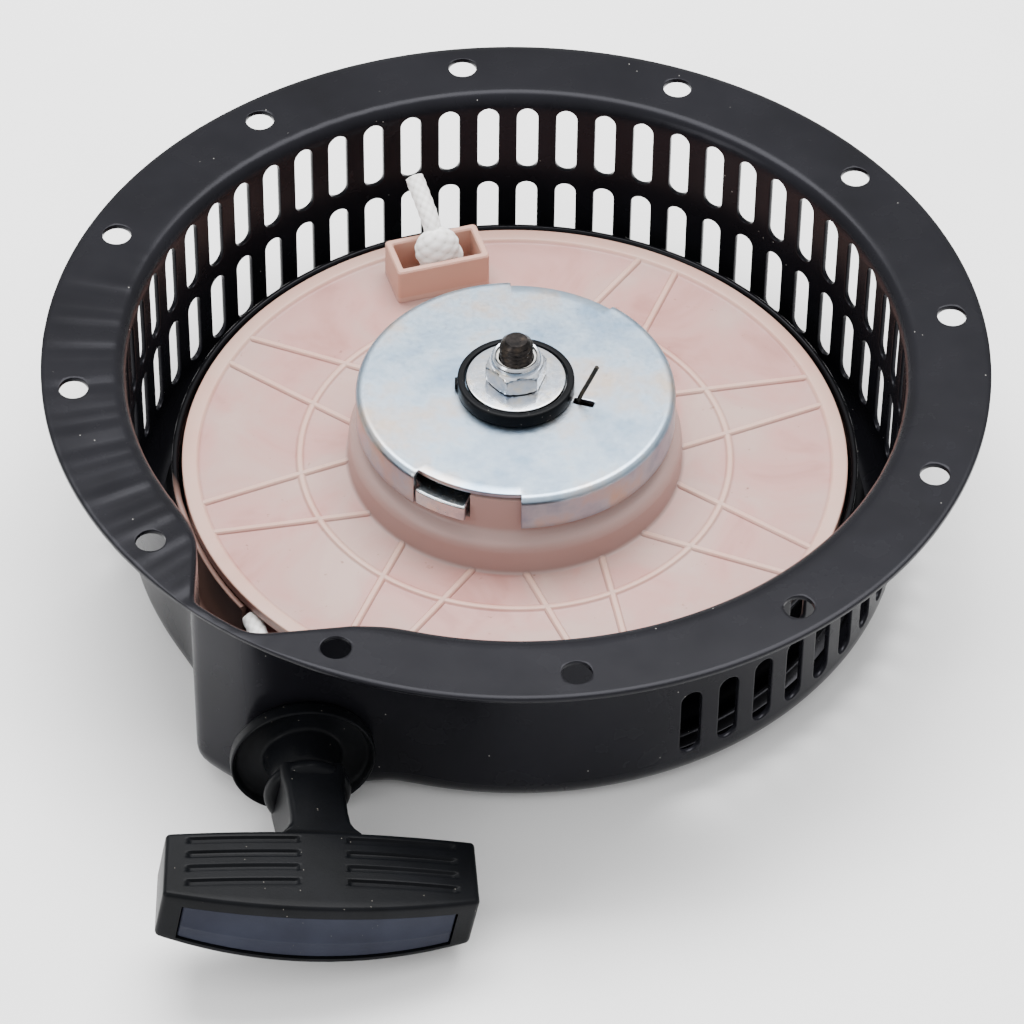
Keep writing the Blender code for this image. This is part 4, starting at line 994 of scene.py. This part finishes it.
# %% Rope pieces
GUIDE_MOUTH = PULL_START + PULL * 80
layer_bearing = np.arctan2(GUIDE_MOUTH[1], GUIDE_MOUTH[0]) - np.arccos(75 / np.hypot(*GUIDE_MOUTH[:2]))
touch = polar(75, layer_bearing, ROPE_Z)
along = (GUIDE_MOUTH - touch) / np.linalg.norm(GUIDE_MOUTH - touch)
run = smooth_path([touch + along * 28.6, touch + along * 45, GUIDE_MOUTH - along * 8, GUIDE_MOUTH,
                   PULL_START + PULL * 88, PULL_START + PULL * 95], 36)
rope_piece("rope_to_guide", [rope(run)], "case", ["rope_run"])

layers = []
for radius in (75.0, 70.2, 65.4, 60.8):
    around = np.linspace(0, 2 * pi, 720 if radius > 74 else 360)
    layers.append(rope(polar(radius, around, ROPE_Z), sides=24 if radius > 74 else 12))
rope_piece("wound_rope", layers, "reel_body", ["rope_winding"])

knot_centre = knot_out * KNOT_RADIUS + UP * 29.6
t = np.linspace(0.15, 2 * pi - 0.15, 150)
knot_u = 1.9 * (np.sin(t) + 1.6 * np.sin(2 * t)) / 2.2
knot_v = 4.1 * (np.cos(t) - 1.5 * np.cos(2 * t)) / 2.2
knot_z = -1.9 * np.sin(3 * t)
knot_path = (knot_centre + knot_out * knot_u[:, None] + knot_side * knot_v[:, None] + UP * knot_z[:, None])
bulb_centre = knot_out * KNOT_RADIUS + UP * 33.0
tail_stops = [bulb_centre + np.array([-0.3, 0.3, 2]), bulb_centre + np.array([-0.9, 1.4, 4]),
              bulb_centre + np.array([-2.2, 4.6, 6.9]), bulb_centre + np.array([-5.9, 13.2, 11.6])]
tail_path = smooth_path(tail_stops, 40)
share = np.linspace(-0.96, 0.96, 60)
bulb_path = bulb_centre + UP * (6.0 * share)[:, None] + np.array([-0.8, 0.8, 0]) * share[:, None]
bulb_height = braid_height(bulb_path, 60, pitch=6)
bulb_wide = 5.9 * np.sqrt(1 - share ** 2)[:, None] * (0.9 + 0.1 * bulb_height)
bulb_points, bulb_faces = swept(bulb_path, bulb_wide, 60)
from_centre = bulb_points - bulb_centre
bulb_points = bulb_points - 0.27 * knot_out * (from_centre @ knot_out)[..., None]
bulb = (bulb_points.reshape(-1, 3), bulb_faces, bulb_height.ravel())
stub_path = smooth_path([knot_out * KNOT_RADIUS + UP * h for h in (21.4, 24, 27)], 20)
rope_piece("knot", [rope(knot_path, radius=2.2), bulb, rope(tail_path), rope(stub_path)], "reel_body",
           ["rope_knot"])

# %% [markdown]
# ## Between the guide and the handle
# At rest the handle's collar nearly touches the guide, and no rope shows. When the handle is pulled, rope
# appears between them. This piece is a short length on the pull line between the guide and the collar, on no
# body, and its strands are spaced for the pulled length.

# %% Pulled rope
PULL_TRAVEL = 1281
ROPE_FROM, ROPE_TO = 90.5, 99.5
share = np.linspace(0, 1, 700)
station = ROPE_FROM + (ROPE_TO - ROPE_FROM) * share
stretched = PULL_START + PULL * (station + step(share) * PULL_TRAVEL)[:, None]
height = braid_height(stretched, 16)
path = PULL_START + PULL * station[:, None]
pulled = rope_piece("rope_to_handle", [rope(path, 16, height=height)], None, None)
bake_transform(pulled)

# %% [markdown]
# ## The rope guide
# A moulded bush with a wide brim, turned about the line that the rope is pulled along. Its rim is rolled,
# with a valley inside it and a nose in the middle that the handle's collar seats on.

# %% Rope guide
guide_profile = rounded([
    (3.3, 79, 0.5), (4.2, 78, 0.5), (5.6, 78, 0.3), (5.6, 85.4, 0.4), (15.9, 85.4, 0.6), (16.7, 86.4, 0.8),
    (16.7, 89.2, 0.25), (16.35, 89.6, 0.17), (16.0, 89.2, 0.2), (15.2, 87.3, 0.9), (12.4, 86.9, 1.2),
    (9.0, 87.4, 1.0), (8.2, 92, 1.0), (7.6, 95, 0.8), (6.2, 96, 0.7), (4.2, 96, 0.6),
    (3.3, 94.8, 0.5)], steps=4)
piece("guide_moulding", turned(guide_profile, 144, ON_PULL_LINE), "case", handle_plastic, ["rope_guide"],
      50)

# %% [markdown]
# ## The handle
# The T grip is one moulding: a bar that is fuller in the middle, bowed at the front, hollow for the knot
# and closed by a cap, on a square stem with a collar. The bar is a rounded rectangle carried from end to
# end. Its outline keeps the same number of points, so that grooves can be pressed into its top by moving
# points down, and only its foremost points follow the bow, so that the rows of points run along the
# grooves.

# %% Grip bar
GRIP_ROLL = radians(10.3)
BAR_AXIS = ACROSS * cos(GRIP_ROLL) - UP * sin(GRIP_ROLL)
TOP_AXIS = ACROSS * sin(GRIP_ROLL) + UP * cos(GRIP_ROLL)
GRIP_BACK, GRIP_FRONT, HALF_LENGTH = 118.7, 136.8, 35.2
EDGE = 1.0
FLARE, LEAN = 0.001, 0.088


def crest(across):
    return 9.2 - 2.1 * (across / HALF_LENGTH) ** 2


def bow(across):
    return GRIP_FRONT + 5.2 * (1 - (across / HALF_LENGTH) ** 2)


def on_handle(across, along, up):
    """World points from distances across, along and above the pull line, in the handle's own tilt. The bar
    widens a little towards its front and leans aside there."""
    depth = np.maximum(along - GRIP_BACK, 0)
    parts = np.broadcast_arrays(across * (1 + FLARE * depth) - LEAN * depth, along, up)
    return PULL_START + sum(part[..., None] * axis for part, axis in zip(parts, (BAR_AXIS, PULL, TOP_AXIS)))


def side_points(start_corner, end_corner, turn, count):
    """Points of one straight side of the outline: two corner signs and the direction it faces."""
    t = np.linspace(0, 1, count)[:, None]
    signs = np.array(start_corner) * (1 - t) + np.array(end_corner) * t
    return np.c_[signs, np.full(count, radians(turn))]


def corner_points(corner, start_turn, count=6):
    turns = np.radians(start_turn + np.linspace(0, 90, count)[1:-1])
    return np.c_[np.repeat([corner], len(turns), axis=0), turns]


outline = np.concatenate([
    side_points((1, -1), (1, 1), 0, 10), corner_points((1, 1), 0), side_points((1, 1), (-1, 1), 90, 76),
    corner_points((-1, 1), 90), side_points((-1, 1), (-1, -1), 180, 8), corner_points((-1, -1), 180),
    side_points((-1, -1), (1, -1), 270, 10), corner_points((1, -1), 270)])
GROOVES, GROOVE_FIRST, GROOVE_PITCH, GROOVE_HALF, GROOVE_DEEP = 4, 2.6, 4.15, 1.05, 0.65
ends = HALF_LENGTH - EDGE * (1 - np.sin(np.radians(np.linspace(0, 90, 7))))
stations = np.concatenate([-ends[::-1], np.linspace(-ends[0], ends[0], 131)[1:-1], ends])[:, None]
shrink = EDGE - np.sqrt(np.maximum(EDGE ** 2 - np.maximum(abs(stations) - (HALF_LENGTH - EDGE), 0) ** 2, 0))
shrink = np.minimum(shrink, EDGE - 0.05)
corner_radius = EDGE - shrink * 0.9
half_up = crest(stations) - shrink - corner_radius
back, front = GRIP_BACK + shrink + corner_radius, bow(stations) - shrink - corner_radius
level_front = GRIP_FRONT - shrink - corner_radius
forward_share = (1 + outline[:, 0]) / 2
bulge = (front - level_front) * np.clip((forward_share - 0.955) / 0.045, 0, 1)
grip_along = back + (level_front - back) * forward_share + bulge + corner_radius * np.cos(outline[:, 2])
grip_up = half_up * outline[:, 1] + corner_radius * np.sin(outline[:, 2])
on_top = abs(outline[:, 2] - pi / 2) < 0.01
groove_depth = np.zeros_like(grip_up)
for k in range(GROOVES):
    middle = GRIP_BACK + GROOVE_FIRST + GROOVE_PITCH * k
    groove_depth += step((GROOVE_HALF - abs(grip_along - middle)) / 0.55)
ends_of_groove = step((abs(stations) - 5.2) / 0.8) * step((30.4 - abs(stations)) / 0.8)
grip_up = grip_up - GROOVE_DEEP * groove_depth * ends_of_groove * on_top
bar = (on_handle(stations, grip_along, grip_up), capped(len(stations), len(outline)))

# %% [markdown]
# The stem is a loft of squares with round corners that flares where it meets the bar, and the collar is
# turned about the pull line. Both run on into the bar, as one moulding does.

# %% Stem and collar
stem_rows = [(97.2, 7.4, 8.4, 1.8), (101, 7.3, 8.5, 1.7), (105, 6.8, 8.7, 1.5), (112, 6.7, 8.9, 1.4),
             (115.5, 7.0, 9.0, 1.4), (117.2, 7.9, 9.0, 1.4), (118.4, 9.2, 9.0, 1.6), (119.4, 10.8, 8.0, 1.8),
             (122, 11.5, 7.6, 2.0)]
sections = np.stack([round_box(wide, high, corner, 7) for _, wide, high, corner in stem_rows])
stem_points = on_handle(sections[..., 0], np.array([row[0] for row in stem_rows])[:, None], sections[..., 1])
stem = (stem_points, capped(len(stem_rows), sections.shape[1]))
collar = turned(rounded([(3.2, 96.6, 0.6), (8.7, 96.6, 1.2), (10, 97.9, 1.0), (10, 99.7, 1.0),
                         (8.8, 101, 1.0), (3.2, 101, 0)], steps=5), 96, ON_PULL_LINE)
grip = piece("grip_moulding", joined(bar, stem, collar), "handle", handle_plastic, ["handle_grip"],
             50)


# %% [markdown]
# The hollow in the front of the bar is cut with a Boolean, because its outline crosses the rounded edge of
# the bar. The cap that closes it is a slab of the same outline, a little smaller, with a fine line across
# it.

# %% Hollow and cap
def room(play, start, stop, line, rows=25):
    """Block that follows the front of the bar: play is the gap all round, start and stop are depths
    behind it, and line is the height of a fine ridge along its face."""
    a = np.linspace(-30.6 + play, 30.6 - play, rows)[:, None]
    top, bottom = crest(a) - 3.3 - play, 1.6 + play - crest(a)
    near, far = bow(a) - start, bow(a) - stop
    ridge = bottom + 0.36 * (top - bottom)
    up = np.concatenate([bottom, bottom, ridge - 0.35, ridge, ridge + 0.35, top, top], axis=1)
    depth = np.concatenate([near, far, far, far + line, far, far, near], axis=1)
    return on_handle(a, depth, up), capped(rows, 7)


cutter = piece("hollow_cutter", room(0, 9, -6, 0), None, handle_plastic)
cut_out(grip, cutter)
cap = piece("cap_moulding", room(0.3, 2.4, 0.45, 0.15, 49), "handle", cap_plastic, ["handle_cap"])
eased(cap, 0.35, 3, 40)

# %% [markdown]
# ## Parts that keep their working shape
# The spring, the pins and the parts hidden in the handle are already right. They only need their finishes,
# which go into the material slots they came with.

# %% Finishes for the remaining parts
keep = {
    "mainspring": spring_steel, "spring_cover": plate_zinc, "wave_washer": bright_zinc,
    "nut_insert": white_nylon, "pawl_pin_a": bright_zinc, "pawl_pin_b": bright_zinc,
    "guide_retainer": spring_steel, "handle_rope": white_nylon, "handle_knot": white_nylon,
    "knot_washer": bright_zinc,
}
for name, material in keep.items():
    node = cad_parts[name]
    node.data.materials.clear()
    node.data.materials.append(material)
print("kept parts:", len(keep))
